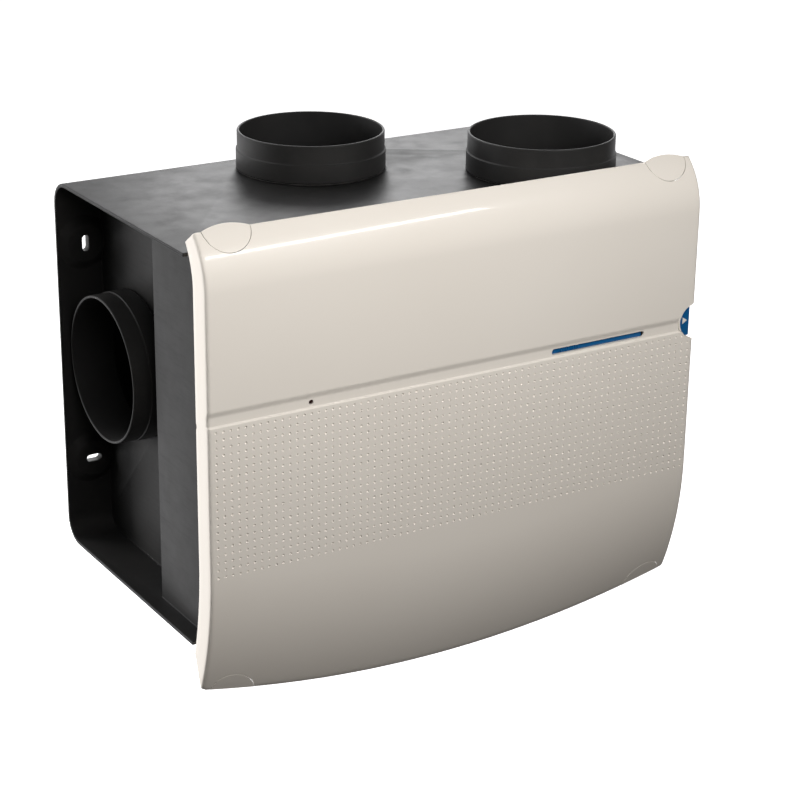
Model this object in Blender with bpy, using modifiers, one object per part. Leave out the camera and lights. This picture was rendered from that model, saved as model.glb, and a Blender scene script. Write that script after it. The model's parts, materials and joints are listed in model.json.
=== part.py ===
"""Wall-hung box fan for whole-house extract, as an assembly of separate pieces.

Frame: the origin is the middle of the back plate's wall face, +X points to the right as the
unit is faced, -Y points out of the wall into the room and +Z points up. Sizes are in metres.
"""
import math

import bmesh
import bpy
from mathutils import Matrix, Vector

# Clearances
GAP = 0.0003              # between pieces that touch
RUN = 0.00006             # radial running clearance of the shaft in its bearings
PAST = 0.002              # how far a cutter runs past the face it opens

# Housing
WIDTH = 0.462
HEIGHT = 0.324
DEPTH = 0.240
HALF_W = WIDTH / 2
HALF_H = HEIGHT / 2
WALL = 0.003
REAR_CORNER = 0.021       # outer radius along the two rear edges
RECESS = 0.040            # how far the rear side walls stand inside the rim
STRIP_INSET = 0.015       # how far the front side walls stand inside the rim

# Wall mounting bosses
BOSS_INSET = 0.0235       # from the rim to a boss's centre
BOSS_FALL = 0.057         # from the top face down to the upper pair
BOSS_LIFT = 0.073         # from the underside up to the lower pair
BOSS_HIGH_Z = HALF_H - BOSS_FALL
BOSS_LOW_Z = -(HALF_H - BOSS_LIFT)
BOSS_BASE_R = 0.023
BOSS_TOP_R = 0.016
BOSS_RISE = 0.0055
SLOT_WIDTH = 0.0060
SLOT_LENGTH = 0.0140

# Duct spigots for 125 mm duct
SPIGOT_R = 0.0623
SPIGOT_WALL = 0.0023
SPIGOT_HEIGHT = 0.033
SLEEVE_HEIGHT = 0.017     # top of the stouter sleeve around the foot
SLEEVE_EXTRA = 0.0010
NECK_STEP = 0.0008
NECK_R = SPIGOT_R - NECK_STEP   # the neck that passes through the housing wall
BEAD_HEIGHT = 0.0026
SEAL_THICK = 0.0012
BEAD_OUT = 0.0008         # how far the snap bead stands out under the wall
PAD_EXTRA = 0.003         # flat pad around the rear spigot, over the rounded rear edge
REAR_DUCT_EDGE = 0.0077   # between the wall and the rear spigot
FRONT_DUCT_EDGE = 0.0037  # between the front spigot and the housing's mouth
SIDE_DUCT_EDGE = 0.0057   # between the wall and a side spigot
REAR_DUCT_Y = -(SPIGOT_R + REAR_DUCT_EDGE)
REAR_DUCT_X = -0.026
FRONT_DUCT_X = 0.138
FRONT_DUCT_Y = -(DEPTH - SPIGOT_R - FRONT_DUCT_EDGE)
SIDE_DUCT_Y = -(SPIGOT_R + SIDE_DUCT_EDGE)
SIDE_DUCT_Z = 0.014
STEP_CLEAR = 0.0027       # between a side spigot and the right step
STEP_LAG = 0.022          # how much further out the left step is
STEP_RIGHT = 2 * SPIGOT_R + SIDE_DUCT_EDGE + STEP_CLEAR   # from the wall to where the side widens
STEP_LEFT = STEP_RIGHT + STEP_LAG

# Front panel, a shallow tray on the housing's mouth
GASKET_THICK = 0.0015
GASKET_WIDTH = 0.0035
PANEL_THICK = 0.0025
TRAY_DEPTH = 0.0142
POST_R = 0.005
POST_LENGTH = 0.036
POST_INSET = 0.0065       # from the housing's outer faces to a screw's centre
SCREW_R = 0.0018
SCREW_HOLE_R = 0.0022
SCREW_HEAD_R = 0.0034
SCREW_HEAD_H = 0.0022
SCREW_LENGTH = 0.016

# Front cover
COVER_THICK = 0.0025
COVER_PROUD = 0.036       # how far the cover stands out in front of the housing
COVER_FACE_Y = -(DEPTH + COVER_PROUD)
COVER_RISE = 0.020        # how far the cover stands above the housing
COVER_DROP = 0.033        # how far its lower corners hang below the housing
CROWN_FALL = 0.044        # from the cover's top to where the crown's curve starts
COVER_TOP_Z = HALF_H + COVER_RISE
CROWN_R = 0.060           # the curve that rolls the face back to the top edge
CROWN_Z = COVER_TOP_Z - CROWN_FALL
TIP_Z = -(HALF_H + COVER_DROP)
ARC_SAG = 0.026           # how far the bottom edge's middle hangs below its corners
CHIN_HEIGHT = 0.110
CHIN_R = 0.300
EDGE_SOFT = 0.003         # softening where the face turns into the side flanges
FLANGE_GAP = 0.015        # between the housing's mouth and the flanges
FLANGE_REAR_Y = -(DEPTH + FLANGE_GAP)
FLANGE_RETURN = 0.011     # how far the flange ends reach further back
FLANGE_HEAD = 0.010       # from the cover's top down to the flanges
FLANGE_FOOT = 0.028       # from the lower corners up to the flanges
FLANGE_TOP_Z = COVER_TOP_Z - FLANGE_HEAD
FLANGE_LOW_Z = TIP_Z + FLANGE_FOOT
GROOVE_Z = 0.046
GROOVE_FALL = 0.004
GROOVE_FLOOR = 0.0065
GROOVE_RISE = 0.002
GROOVE_DEPTH = 0.0016
CROWN_STEPS = 7
CHIN_STEPS = 6
FACE_COLUMNS = 17
THUMB_R = 0.015           # half-round thumb notch in the right edge
THUMB_Z = 0.042
THUMB_REACH = 0.014       # how deep the notch runs into the flange
NICK_R = 0.004
NICK_Z = 0.030
SLIT_LEFT = 0.084
SLIT_RIGHT = 0.179
SLIT_HEIGHT = 0.005
LENS_X = -0.142
LENS_HOLE_R = 0.0020
LENS_LENGTH = 0.007

# Corner clips that show as round caps in the cover's corners
CLIP_R = 0.020
CLIP_INSET = 0.027        # from the cover's side to a cap's centre
CLIP_X = HALF_W - CLIP_INSET
CLIP_CROWN = 0.0045       # how far an upper clip stands above the cover's top edge
CLIP_DROP = 0.004         # how far a lower clip's centre lies below the bottom edge
CLIP_COLUMNS = 11
CLIP_ROWS = 5
RIB_HALF = 0.006

# Latch slide
LATCH_THICK = 0.003
LATCH_LEFT = 0.076
LATCH_BAR_HEIGHT = 0.0095
TAB_WIDTH = 0.024
TAB_LEFT = HALF_W - TAB_WIDTH
TAB_EDGE_INSET = 0.002
TAB_HALF = 0.0138
GUIDE_WIDTH = 0.008
GUIDE_WALL = 0.003
GUIDE_XS = (0.112, 0.192)
HOOK_X = 0.152
HOOK_WIDTH = 0.004
HOOK_REACH = 0.0105
KEEPER_WIDTH = 0.008
KEEPER_CLEAR = 0.002
KEEPER_HEIGHT = 0.017

# Fan
FAN_X = 0.044
FAN_Z = -0.028
SCROLL_FRONT = -0.227
SCROLL_WIDTH = 0.105
SCROLL_WALL = 0.0025
SCROLL_HEADROOM = 0.037   # from the housing's top face down to the scroll
SCROLL_TOP_Z = HALF_H - SCROLL_HEADROOM
SCROLL_RIGHT_R = 0.1405
TONGUE_ANGLE = 50.0
SCROLL_MOUTH_LEFT = 0.088
SCROLL_STEP = 10.0
OUTLET_R = 0.0435
MOTOR_HOLE_R = 0.055
WHEEL_R = 0.085
TONGUE_GAP = 0.013
TONGUE_R = WHEEL_R + TONGUE_GAP
WHEEL_PLATE = 0.002
WHEEL_PLATE_Y = -0.216
WHEEL_WIDTH = 0.070
WHEEL_RING_WIDTH = 0.004
BLADE_COUNT = 28
BLADE_CHORD = 0.0115      # along the wheel's radius
BLADE_LAP = 0.0010        # how far the ring reaches inside the blades
BLADE_INNER_R = WHEEL_R - BLADE_CHORD
WHEEL_EYE_R = BLADE_INNER_R - BLADE_LAP
BLADE_THICK = 0.0012
BLADE_LEAN = 14.0
INLET_CLEAR = 0.0025      # between the inlet's throat and the wheel's eye
INLET_SEAT = 0.011        # how far the inlet's flange laps the scroll
INLET_HOLE_R = WHEEL_EYE_R + INLET_CLEAR
INLET_FLANGE_R = INLET_HOLE_R + INLET_SEAT
INLET_THROAT_R = WHEEL_EYE_R - INLET_CLEAR
INLET_WALL = 0.0015
ROTOR_R = 0.046
ROTOR_WALL = 0.003
ROTOR_LENGTH = 0.041
ROTOR_END = 0.004
ROTOR_FRONT = -0.219
STATOR_R = 0.030
STATOR_FLANGE_R = 0.038
STATOR_FLANGE = 0.005
STATOR_LENGTH = 0.038
SHAFT_R = 0.004
SHAFT_LENGTH = 0.050
BEARING_R = 0.011
BEARING_LENGTH = 0.007
BEARING_YS = (-0.225, -0.197)
PLATE_R = 0.068
PLATE_THICK = 0.0022
PLATE_SCREW_CIRCLE_R = 0.0615
MOUNT_R = 0.008
MOUNT_CIRCLE_R = 0.088

# Controls on the front panel
BOARD_X = (-0.196, -0.074)
BOARD_Z = (-0.040, 0.070)
BOARD_THICK = 0.0016
PEG_R = 0.003
PEG_HEIGHT = 0.0032
BOX_MARGIN = 0.006
BOX_WALL = 0.002
BOX_DEPTH = 0.017
PART_HEIGHT = 0.0085
KNOB_R = 0.0045
KNOB_PITCH = 0.020
KNOB_X = -0.168
KNOB_Z = -0.020
KNOB_STANDOUT = 0.002
KNOB_SLOT = 0.0012

# Cable gland in the bottom panel
GLAND_X = 0.185
GLAND_Y = -0.200
GLAND_R = 0.008
GLAND_BORE_R = 0.0042
GLAND_HEAD_R = 0.0115
GLAND_HEAD = 0.014
GLAND_NUT = 0.005

ROUND_STEPS = 40
SMALL_STEPS = 16

# Planes worked out from the sizes above
SIDE_X = HALF_W - RECESS                    # outer face of the rear side walls
STRIP_X = HALF_W - STRIP_INSET              # outer face of the front side walls
PANEL_REAR_Y = -(DEPTH + GASKET_THICK + 2 * GAP)
PANEL_FRONT_Y = PANEL_REAR_Y - PANEL_THICK
TRAY_FRONT_Y = PANEL_REAR_Y - TRAY_DEPTH
CROWN_ANGLE = math.asin((COVER_TOP_Z - CROWN_Z) / CROWN_R)
CHIN_ANGLE = math.asin(CHIN_HEIGHT / CHIN_R)
SLIT_Z = GROOVE_Z - GROOVE_FALL - GROOVE_FLOOR / 2
LATCH_FRONT_Y = COVER_FACE_Y + GROOVE_DEPTH + COVER_THICK + GAP
LATCH_REAR_Y = LATCH_FRONT_Y + LATCH_THICK
SCROLL_REAR = SCROLL_FRONT + SCROLL_WIDTH
BOARD_REAR_Y = PANEL_FRONT_Y - PEG_HEIGHT - GAP
BOARD_FRONT_Y = BOARD_REAR_Y - BOARD_THICK
BOX_FRONT_Y = PANEL_FRONT_Y - BOX_DEPTH

# Where a flat outline's first axis, second axis and thickness point
ACROSS_X = Matrix(((0, 0, 1), (1, 0, 0), (0, 1, 0))).to_4x4()      # outline (y, z), along X
ACROSS_Y = Matrix(((1, 0, 0), (0, 0, -1), (0, 1, 0))).to_4x4()     # outline (x, z), along -Y


def clear_scene():
    """Remove every object that is in the file."""
    for thing in list(bpy.data.objects):
        bpy.data.objects.remove(thing, do_unlink=True)


def collection(name):
    """Make a collection in the scene."""
    group = bpy.data.collections.new(name)
    bpy.context.scene.collection.children.link(group)
    return group


clear_scene()
PARTS = collection("box_fan")
CUTTERS = collection("cutters")


def finish(name, colour, roughness, metallic=0.0):
    """Make a Principled material."""
    material = bpy.data.materials.new(name)
    material.use_nodes = True
    shader = material.node_tree.nodes["Principled BSDF"]
    shader.inputs["Base Color"].default_value = (*colour, 1.0)
    shader.inputs["Roughness"].default_value = roughness
    shader.inputs["Metallic"].default_value = metallic
    return material


DARK_PLASTIC = finish("dark_plastic", (0.035, 0.036, 0.038), 0.45)
CREAM_PLASTIC = finish("cream_plastic", (0.78, 0.73, 0.66), 0.18)
BLUE_PLASTIC = finish("blue_plastic", (0.01, 0.09, 0.30), 0.35)
BLACK_PLASTIC = finish("black_plastic", (0.012, 0.012, 0.013), 0.4)
GREY_PLASTIC = finish("grey_plastic", (0.30, 0.31, 0.32), 0.5)
SEAL_RUBBER = finish("seal_rubber", (0.015, 0.015, 0.015), 0.8)
ZINC_STEEL = finish("zinc_steel", (0.62, 0.63, 0.64), 0.3, 1.0)
CAST_ALUMINIUM = finish("cast_aluminium", (0.55, 0.56, 0.57), 0.4, 1.0)
BOARD_GREEN = finish("board_green", (0.02, 0.16, 0.07), 0.45)
LENS_CLEAR = finish("lens_smoke", (0.03, 0.02, 0.02), 0.15)


def place(name, mesh, material=None, matrix=None):
    """Put a mesh in the parts collection, or in the cutters collection when it has no material."""
    thing = bpy.data.objects.new(name, mesh)
    if matrix is not None:
        thing.matrix_world = matrix
    if material is None:
        CUTTERS.objects.link(thing)
        thing.hide_render = True
        thing.display_type = "WIRE"
    else:
        PARTS.objects.link(thing)
        mesh.materials.append(material)
    return thing


def box(name, low, high, material=None):
    """A block between two opposite corners."""
    low, high = Vector(low), Vector(high)
    shape = bmesh.new()
    matrix = Matrix.Translation((low + high) / 2) @ Matrix.Diagonal((high - low).to_4d())
    matrix[3][3] = 1.0
    bmesh.ops.create_cube(shape, size=1.0, matrix=matrix)
    mesh = bpy.data.meshes.new(name)
    shape.to_mesh(mesh)
    shape.free()
    return place(name, mesh, material)


def aim(origin, axis):
    """A matrix that puts local +Z on an axis through an origin."""
    turn = Vector(axis).to_track_quat("Z", "Y").to_matrix().to_4x4()
    return Matrix.Translation(origin) @ turn


def cylinder(name, radius, length, origin, axis, material=None, steps=ROUND_STEPS, top_radius=None):
    """A cylinder, or a cone, that stands on its origin and runs along an axis."""
    shape = bmesh.new()
    bmesh.ops.create_cone(
        shape, cap_ends=True, segments=steps, radius1=radius,
        radius2=radius if top_radius is None else top_radius, depth=length,
        matrix=aim(origin, axis) @ Matrix.Translation((0, 0, length / 2)))
    mesh = bpy.data.meshes.new(name)
    shape.to_mesh(mesh)
    shape.free()
    mesh.shade_smooth()
    mesh.set_sharp_from_angle(angle=math.radians(35))
    return place(name, mesh, material)


def turned(name, profile, origin, axis, material=None, steps=ROUND_STEPS):
    """Turn a closed profile of (radius, height), outer side first and downwards, about an axis."""
    mesh = bpy.data.meshes.new(name)
    count = len(profile)
    mesh.from_pydata([(radius, 0, height) for radius, height in profile],
                     [(i, (i + 1) % count) for i in range(count)], [])
    thing = place(name, mesh, material, aim(origin, axis))
    screw = thing.modifiers.new("turn", "SCREW")
    screw.axis = "Z"
    screw.angle = math.tau
    screw.steps = steps
    screw.render_steps = steps
    screw.use_merge_vertices = True
    screw.merge_threshold = 0.00001
    screw.use_smooth_shade = True
    return thing


def ring(name, inner, outer, length, origin, axis, material=None, steps=ROUND_STEPS):
    """A plain ring that stands on its origin and runs along an axis."""
    profile = ((outer, length), (outer, 0), (inner, 0), (inner, length))
    return turned(name, profile, origin, axis, material, steps)


def extruded(name, outlines, start, end, direction, material=None):
    """Extrude flat closed outlines between two planes across a direction."""
    curve = bpy.data.curves.new(name, "CURVE")
    curve.dimensions = "2D"
    curve.fill_mode = "BOTH"
    curve.extrude = abs(end - start) / 2
    for outline in outlines:
        spline = curve.splines.new("POLY")
        spline.points.add(len(outline) - 1)
        for point, (first, second) in zip(spline.points, outline):
            point.co = (first, second, 0, 1)
        spline.use_cyclic_u = True
    guide = bpy.data.objects.new(name + "_outline", curve)
    CUTTERS.objects.link(guide)
    bpy.context.view_layer.update()
    mesh = bpy.data.meshes.new_from_object(guide.evaluated_get(bpy.context.evaluated_depsgraph_get()))
    bpy.data.objects.remove(guide, do_unlink=True)
    mesh.name = name
    shape = bmesh.new()
    shape.from_mesh(mesh)
    bmesh.ops.remove_doubles(shape, verts=shape.verts, dist=0.000001)
    bmesh.ops.recalc_face_normals(shape, faces=shape.faces)
    shape.to_mesh(mesh)
    shape.free()
    mesh.materials.clear()
    middle = (start + end) / 2
    offset = (middle, 0, 0) if direction is ACROSS_X else (0, middle, 0)
    mesh.transform(Matrix.Translation(offset) @ direction)
    return place(name, mesh, material)


def boolean(thing, tool, operation):
    """Cut a tool from a piece, or join it on."""
    step = thing.modifiers.new(operation.lower(), "BOOLEAN")
    step.operation = operation
    step.solver = "EXACT"
    step.object = tool


def cut(thing, *tools):
    """Cut tools from a piece."""
    for tool in tools:
        boolean(thing, tool, "DIFFERENCE")


def join(thing, *tools):
    """Join tools onto a piece, so that they are one body."""
    for tool in tools:
        boolean(thing, tool, "UNION")


def axis_empty(name, location):
    """An empty on a joint's axis, which the moving pieces hang from."""
    empty = bpy.data.objects.new(name, None)
    empty.location = location
    empty.empty_display_size = 0.02
    PARTS.objects.link(empty)
    return empty


def hang(empty, *pieces):
    """Parent pieces to a joint's empty where they stand."""
    for piece in pieces:
        piece.parent = empty
        piece.matrix_parent_inverse = Matrix.Translation(-Vector(empty.location))


def arc(centre, radius, start, end, steps):
    """Points on an arc, with the angles in degrees."""
    points = []
    for i in range(steps + 1):
        angle = math.radians(start + (end - start) * i / steps)
        points.append((centre[0] + radius * math.cos(angle), centre[1] + radius * math.sin(angle)))
    return points


def rectangle(low_a, low_b, high_a, high_b):
    """The four corners of a flat rectangle."""
    return [(low_a, low_b), (high_a, low_b), (high_a, high_b), (low_a, high_b)]


def stadium(centre, length, width, upright):
    """A slot outline with round ends."""
    reach = (length - width) / 2
    if upright:
        return (arc((centre[0], centre[1] + reach), width / 2, 0, 180, 8)
                + arc((centre[0], centre[1] - reach), width / 2, 180, 360, 8))
    return (arc((centre[0] + reach, centre[1]), width / 2, -90, 90, 8)
            + arc((centre[0] - reach, centre[1]), width / 2, 90, 270, 8))


def housing_outline(inset, front):
    """The housing's side outline (y, z), moved in by an inset and ending at a front plane."""
    half = HALF_H - inset
    radius = REAR_CORNER - inset
    middle = -(inset + radius)
    return ([(front, -half)] + arc((middle, radius - half), radius, -90, 0, 6)
            + arc((middle, half - radius), radius, 0, 90, 6) + [(front, half)])


def carve_sides(housing):
    """Cut the side recesses, which leave the rim and the stepped side walls."""
    for side, step, label in ((-1, STEP_LEFT, "left"), (1, STEP_RIGHT, "right")):
        past = side * (HALF_W + PAST)
        cut(housing,
            extruded(f"{label}_recess", [housing_outline(WALL, -step)], past, side * SIDE_X, ACROSS_X),
            box(f"{label}_strip_recess",
                (min(past, side * STRIP_X), -(DEPTH + PAST), WALL - HALF_H),
                (max(past, side * STRIP_X), PAST - step, HALF_H - WALL)))


def raise_bosses(housing):
    """Join the conical pads that the wall screws clamp, and the rear spigot's flat pad."""
    for side, label in ((-1, "left"), (1, "right")):
        for height, level in ((BOSS_HIGH_Z, "high"), (BOSS_LOW_Z, "low")):
            join(housing, cylinder(f"{label}_{level}_boss", BOSS_BASE_R, BOSS_RISE,
                                   (side * (HALF_W - BOSS_INSET), -WALL, height), (0, -1, 0),
                                   steps=32, top_radius=BOSS_TOP_R))
    join(housing, cylinder("duct_pad", SPIGOT_R + PAD_EXTRA, REAR_CORNER,
                           (REAR_DUCT_X, REAR_DUCT_Y, HALF_H - REAR_CORNER), (0, 0, 1)))


def hollow_housing(housing):
    """Cut the inner space: narrow behind, and wider in front of the steps."""
    mouth = -(DEPTH + PAST)
    inner = SIDE_X - WALL
    wide = STRIP_X - WALL
    cut(housing, extruded("inner_space", [housing_outline(WALL, mouth)], -inner, inner, ACROSS_X),
        box("left_front_space", (-wide, mouth, WALL - HALF_H), (0, -(STEP_LEFT + WALL), HALF_H - WALL)),
        box("right_front_space", (0, mouth, WALL - HALF_H), (wide, -(STEP_RIGHT + WALL), HALF_H - WALL)))


def open_housing(housing):
    """Cut the duct holes, the wall screw slots and the gland's hole."""
    hole_r = NECK_R + GAP
    top = HALF_H - WALL - PAST
    cut(housing,
        cylinder("rear_duct_hole", hole_r, 0.02, (REAR_DUCT_X, REAR_DUCT_Y, top), (0, 0, 1)),
        cylinder("bead_room", hole_r + BEAD_OUT, REAR_CORNER, (REAR_DUCT_X, REAR_DUCT_Y, HALF_H - WALL),
                 (0, 0, -1)),
        cylinder("front_duct_hole", hole_r, 0.02, (FRONT_DUCT_X, FRONT_DUCT_Y, top), (0, 0, 1)),
        cylinder("gland_hole", GLAND_R + GAP, 0.02, (GLAND_X, GLAND_Y, -top), (0, 0, -1), steps=24))
    for side, label in ((-1, "left"), (1, "right")):
        start = (side * (SIDE_X - WALL - PAST), SIDE_DUCT_Y, SIDE_DUCT_Z)
        cut(housing, cylinder(f"{label}_duct_hole", hole_r, 0.02, start, (side, 0, 0)))
        for height, upright, level in ((BOSS_HIGH_Z, True, "high"), (BOSS_LOW_Z, False, "low")):
            outline = stadium((side * (HALF_W - BOSS_INSET), height), SLOT_LENGTH, SLOT_WIDTH, upright)
            cut(housing, extruded(f"{label}_{level}_slot", [outline], PAST,
                                  -(WALL + BOSS_RISE + PAST), ACROSS_Y))


def post_places():
    """The four panel screws' places (x, z), at the corners of the housing's mouth."""
    across = STRIP_X - POST_INSET
    up = HALF_H - POST_INSET
    return [(sx * across, sz * up) for sz in (1, -1) for sx in (-1, 1)]


def add_posts(housing):
    """Join the screw posts at the mouth's corners, and drill them."""
    for number, (x, z) in enumerate(post_places(), 1):
        join(housing, cylinder(f"post_{number}", POST_R, POST_LENGTH, (x, -(DEPTH - 0.001), z),
                               (0, 1, 0), steps=20))
        cut(housing, cylinder(f"post_hole_{number}", SCREW_HOLE_R, SCREW_LENGTH + PAST,
                              (x, -(DEPTH + PAST), z), (0, 1, 0), steps=12))


def build_housing():
    """The rear housing: one deep moulding that carries everything else."""
    housing = extruded("rear_housing", [housing_outline(0, -DEPTH)], -HALF_W, HALF_W, ACROSS_X,
                       DARK_PLASTIC)
    carve_sides(housing)
    raise_bosses(housing)
    hollow_housing(housing)
    open_housing(housing)
    add_posts(housing)
    return housing


def spigot_profile():
    """Profile (radius, height above the housing's face): sleeve, foot, neck and snap bead."""
    foot = SEAL_THICK + 2 * GAP
    under = -(WALL + GAP)
    bore = SPIGOT_R - SPIGOT_WALL
    return ((SPIGOT_R, SPIGOT_HEIGHT), (SPIGOT_R, SLEEVE_HEIGHT + 0.0004),
            (SPIGOT_R + SLEEVE_EXTRA, SLEEVE_HEIGHT - 0.0004), (SPIGOT_R + SLEEVE_EXTRA, foot),
            (NECK_R, foot), (NECK_R, under), (NECK_R + BEAD_OUT, under - 0.0003),
            (NECK_R, under - BEAD_HEIGHT), (bore, under - BEAD_HEIGHT), (bore, SPIGOT_HEIGHT))


def build_spigots():
    """Four duct spigots, each snapped into its hole over a flat seal."""
    places = (("top_rear", (REAR_DUCT_X, REAR_DUCT_Y, HALF_H), (0, 0, 1)),
              ("top_front", (FRONT_DUCT_X, FRONT_DUCT_Y, HALF_H), (0, 0, 1)),
              ("left", (-SIDE_X, SIDE_DUCT_Y, SIDE_DUCT_Z), (-1, 0, 0)),
              ("right", (SIDE_X, SIDE_DUCT_Y, SIDE_DUCT_Z), (1, 0, 0)))
    for name, origin, axis in places:
        turned(f"spigot_{name}", spigot_profile(), origin, axis, DARK_PLASTIC)
        ring(f"spigot_seal_{name}", NECK_R + GAP, SPIGOT_R + SLEEVE_EXTRA, SEAL_THICK,
             Vector(origin) + GAP * Vector(axis), axis, SEAL_RUBBER, 32)


def screw_profile(length):
    """Profile of a pan-head screw whose head sits on height 0."""
    return ((0.0012, SCREW_HEAD_H), (SCREW_HEAD_R, SCREW_HEAD_H * 0.6), (SCREW_HEAD_R, 0),
            (SCREW_R, 0), (SCREW_R, -length), (0.0004, -length - SCREW_R))


def screw(name, length, origin, axis):
    """A pan-head screw with a blind recess in its head."""
    thing = turned(name, screw_profile(length) + ((0.0004, SCREW_HEAD_H * 0.4),
                                                  (0.0012, SCREW_HEAD_H * 0.4)),
                   origin, axis, ZINC_STEEL, SMALL_STEPS)
    return thing


def build_panel():
    """The front panel with its gasket and four screws."""
    frame_outer = rectangle(GAP - STRIP_X, GAP - HALF_H, STRIP_X - GAP, HALF_H - GAP)
    rim = GASKET_WIDTH
    frame_inner = rectangle(rim - STRIP_X, rim - HALF_H, STRIP_X - rim, HALF_H - rim)
    front = -(DEPTH + GAP)
    extruded("panel_gasket", [frame_outer, frame_inner], front, front - GASKET_THICK, ACROSS_Y,
             SEAL_RUBBER)
    panel = box("front_panel", (-STRIP_X, TRAY_FRONT_Y, -HALF_H), (STRIP_X, PANEL_REAR_Y, HALF_H),
                DARK_PLASTIC)
    cut(panel, box("tray_space", (PANEL_THICK - STRIP_X, TRAY_FRONT_Y - PAST, PANEL_THICK - HALF_H),
                   (STRIP_X - PANEL_THICK, PANEL_FRONT_Y, HALF_H - PANEL_THICK)))
    for number, (x, z) in enumerate(post_places(), 1):
        cut(panel, cylinder(f"panel_hole_{number}", SCREW_HOLE_R, 0.01,
                            (x, PANEL_REAR_Y + PAST, z), (0, -1, 0), steps=12))
        screw(f"panel_screw_{number}", SCREW_LENGTH, (x, PANEL_FRONT_Y - GAP, z), (0, -1, 0))
    keeper_right = HOOK_X - HOOK_WIDTH / 2 - KEEPER_CLEAR
    join(panel, box("keeper", (keeper_right - KEEPER_WIDTH, PANEL_FRONT_Y - KEEPER_HEIGHT,
                               SLIT_Z - 0.005),
                    (keeper_right, PANEL_FRONT_Y + 0.001, SLIT_Z + 0.005)))
    for number, (x, z) in enumerate(peg_places(), 1):
        join(panel, cylinder(f"peg_{number}", PEG_R, PEG_HEIGHT + 0.001,
                             (x, PANEL_FRONT_Y + 0.001, z), (0, -1, 0), steps=12))
    return panel


def peg_places():
    """The board's four pegs (x, z)."""
    inset = 0.006
    return [(x, z) for z in (BOARD_Z[0] + inset, BOARD_Z[1] - inset)
            for x in (BOARD_X[0] + inset, BOARD_X[1] - inset)]


def bottom_edge_z(x):
    """Height of the cover's bottom edge, an arc that hangs lowest in the middle."""
    radius = (HALF_W ** 2 + ARC_SAG ** 2) / (2 * ARC_SAG)
    return TIP_Z - (math.sqrt(radius ** 2 - x ** 2) - (radius - ARC_SAG))


def crown_point(angle, depth=0.0):
    """Point (y, z) on the crown curve at an angle above level, at a depth under the surface."""
    reach = CROWN_R - depth
    return (COVER_FACE_Y + CROWN_R - reach * math.cos(angle), CROWN_Z + reach * math.sin(angle))


def chin_point(x, angle, depth=0.0):
    """Point (y, z) on the chin curve at an angle below level, at a depth under the surface."""
    reach = CHIN_R - depth
    start = bottom_edge_z(x) + CHIN_HEIGHT
    return (COVER_FACE_Y + CHIN_R - reach * math.cos(angle), start - reach * math.sin(angle))


def cover_rows():
    """Rows of the cover's face from top to bottom, each a zone and a share or a depth."""
    groove = ((GROOVE_Z, 0), (GROOVE_Z - GROOVE_FALL, GROOVE_DEPTH),
              (GROOVE_Z - GROOVE_FALL - GROOVE_FLOOR, GROOVE_DEPTH),
              (GROOVE_Z - GROOVE_FALL - GROOVE_FLOOR - GROOVE_RISE, 0))
    return ([("crown", 1 - i / CROWN_STEPS, 0) for i in range(CROWN_STEPS + 1)]
            + [("level", z, depth) for z, depth in groove]
            + [("chin", i / CHIN_STEPS, 0) for i in range(CHIN_STEPS + 1)])


def face_point(x, row, depth=0.0):
    """Point (y, z) of the cover's face in one row, at a depth under the surface."""
    zone, value, sink = row
    if zone == "crown":
        return crown_point(CROWN_ANGLE * value, depth)
    if zone == "chin":
        return chin_point(x, CHIN_ANGLE * value, depth)
    return (COVER_FACE_Y + sink + depth, value)


def flange_point(row):
    """Rear edge (y, z) of the side flange in one row; its two ends reach back and are cut off."""
    zone, value, _ = row
    if zone == "crown":
        share = math.sin(CROWN_ANGLE * value) / math.sin(CROWN_ANGLE)
        return (FLANGE_REAR_Y + FLANGE_RETURN * share ** 2, CROWN_Z + share * (FLANGE_TOP_Z - CROWN_Z))
    if zone == "chin":
        start = TIP_Z + CHIN_HEIGHT
        return (FLANGE_REAR_Y + FLANGE_RETURN * value ** 2, start - value * (start - FLANGE_LOW_Z))
    return (FLANGE_REAR_Y, value)


def cover_vertex(column, row):
    """Place of a grid vertex: two flange columns, the face's columns, two flange columns."""
    last = FACE_COLUMNS + 3
    side = -1 if column < 2 else 1
    if column in (0, last):
        y, z = flange_point(row)
        return (side * HALF_W, y, z)
    if column in (1, last - 1):
        y, z = face_point(HALF_W, row, EDGE_SOFT)
        return (side * HALF_W, y, z)
    reach = HALF_W - EDGE_SOFT
    x = -reach + 2 * reach * (column - 2) / (FACE_COLUMNS - 1)
    return (x, *face_point(x, row))


def cover_surface():
    """The cover's outer skin as an open sheet with its normals out of the unit."""
    rows = cover_rows()
    columns = FACE_COLUMNS + 4
    shape = bmesh.new()
    bmesh.ops.create_grid(shape, x_segments=columns - 1, y_segments=len(rows) - 1, size=1.0)
    for vertex in shape.verts:
        column = round((vertex.co.x + 1) / 2 * (columns - 1))
        row = round((1 - vertex.co.y) / 2 * (len(rows) - 1))
        vertex.co = cover_vertex(column, rows[row])
    mesh = bpy.data.meshes.new("front_cover")
    shape.to_mesh(mesh)
    shape.free()
    mesh.shade_smooth()
    mesh.set_sharp_from_angle(angle=math.radians(30))
    return mesh


def solidify(thing, thickness, offset=-1.0):
    """Give an open sheet its thickness."""
    step = thing.modifiers.new("thickness", "SOLIDIFY")
    step.thickness = thickness
    step.offset = offset
    step.use_even_offset = True
    return thing


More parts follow.
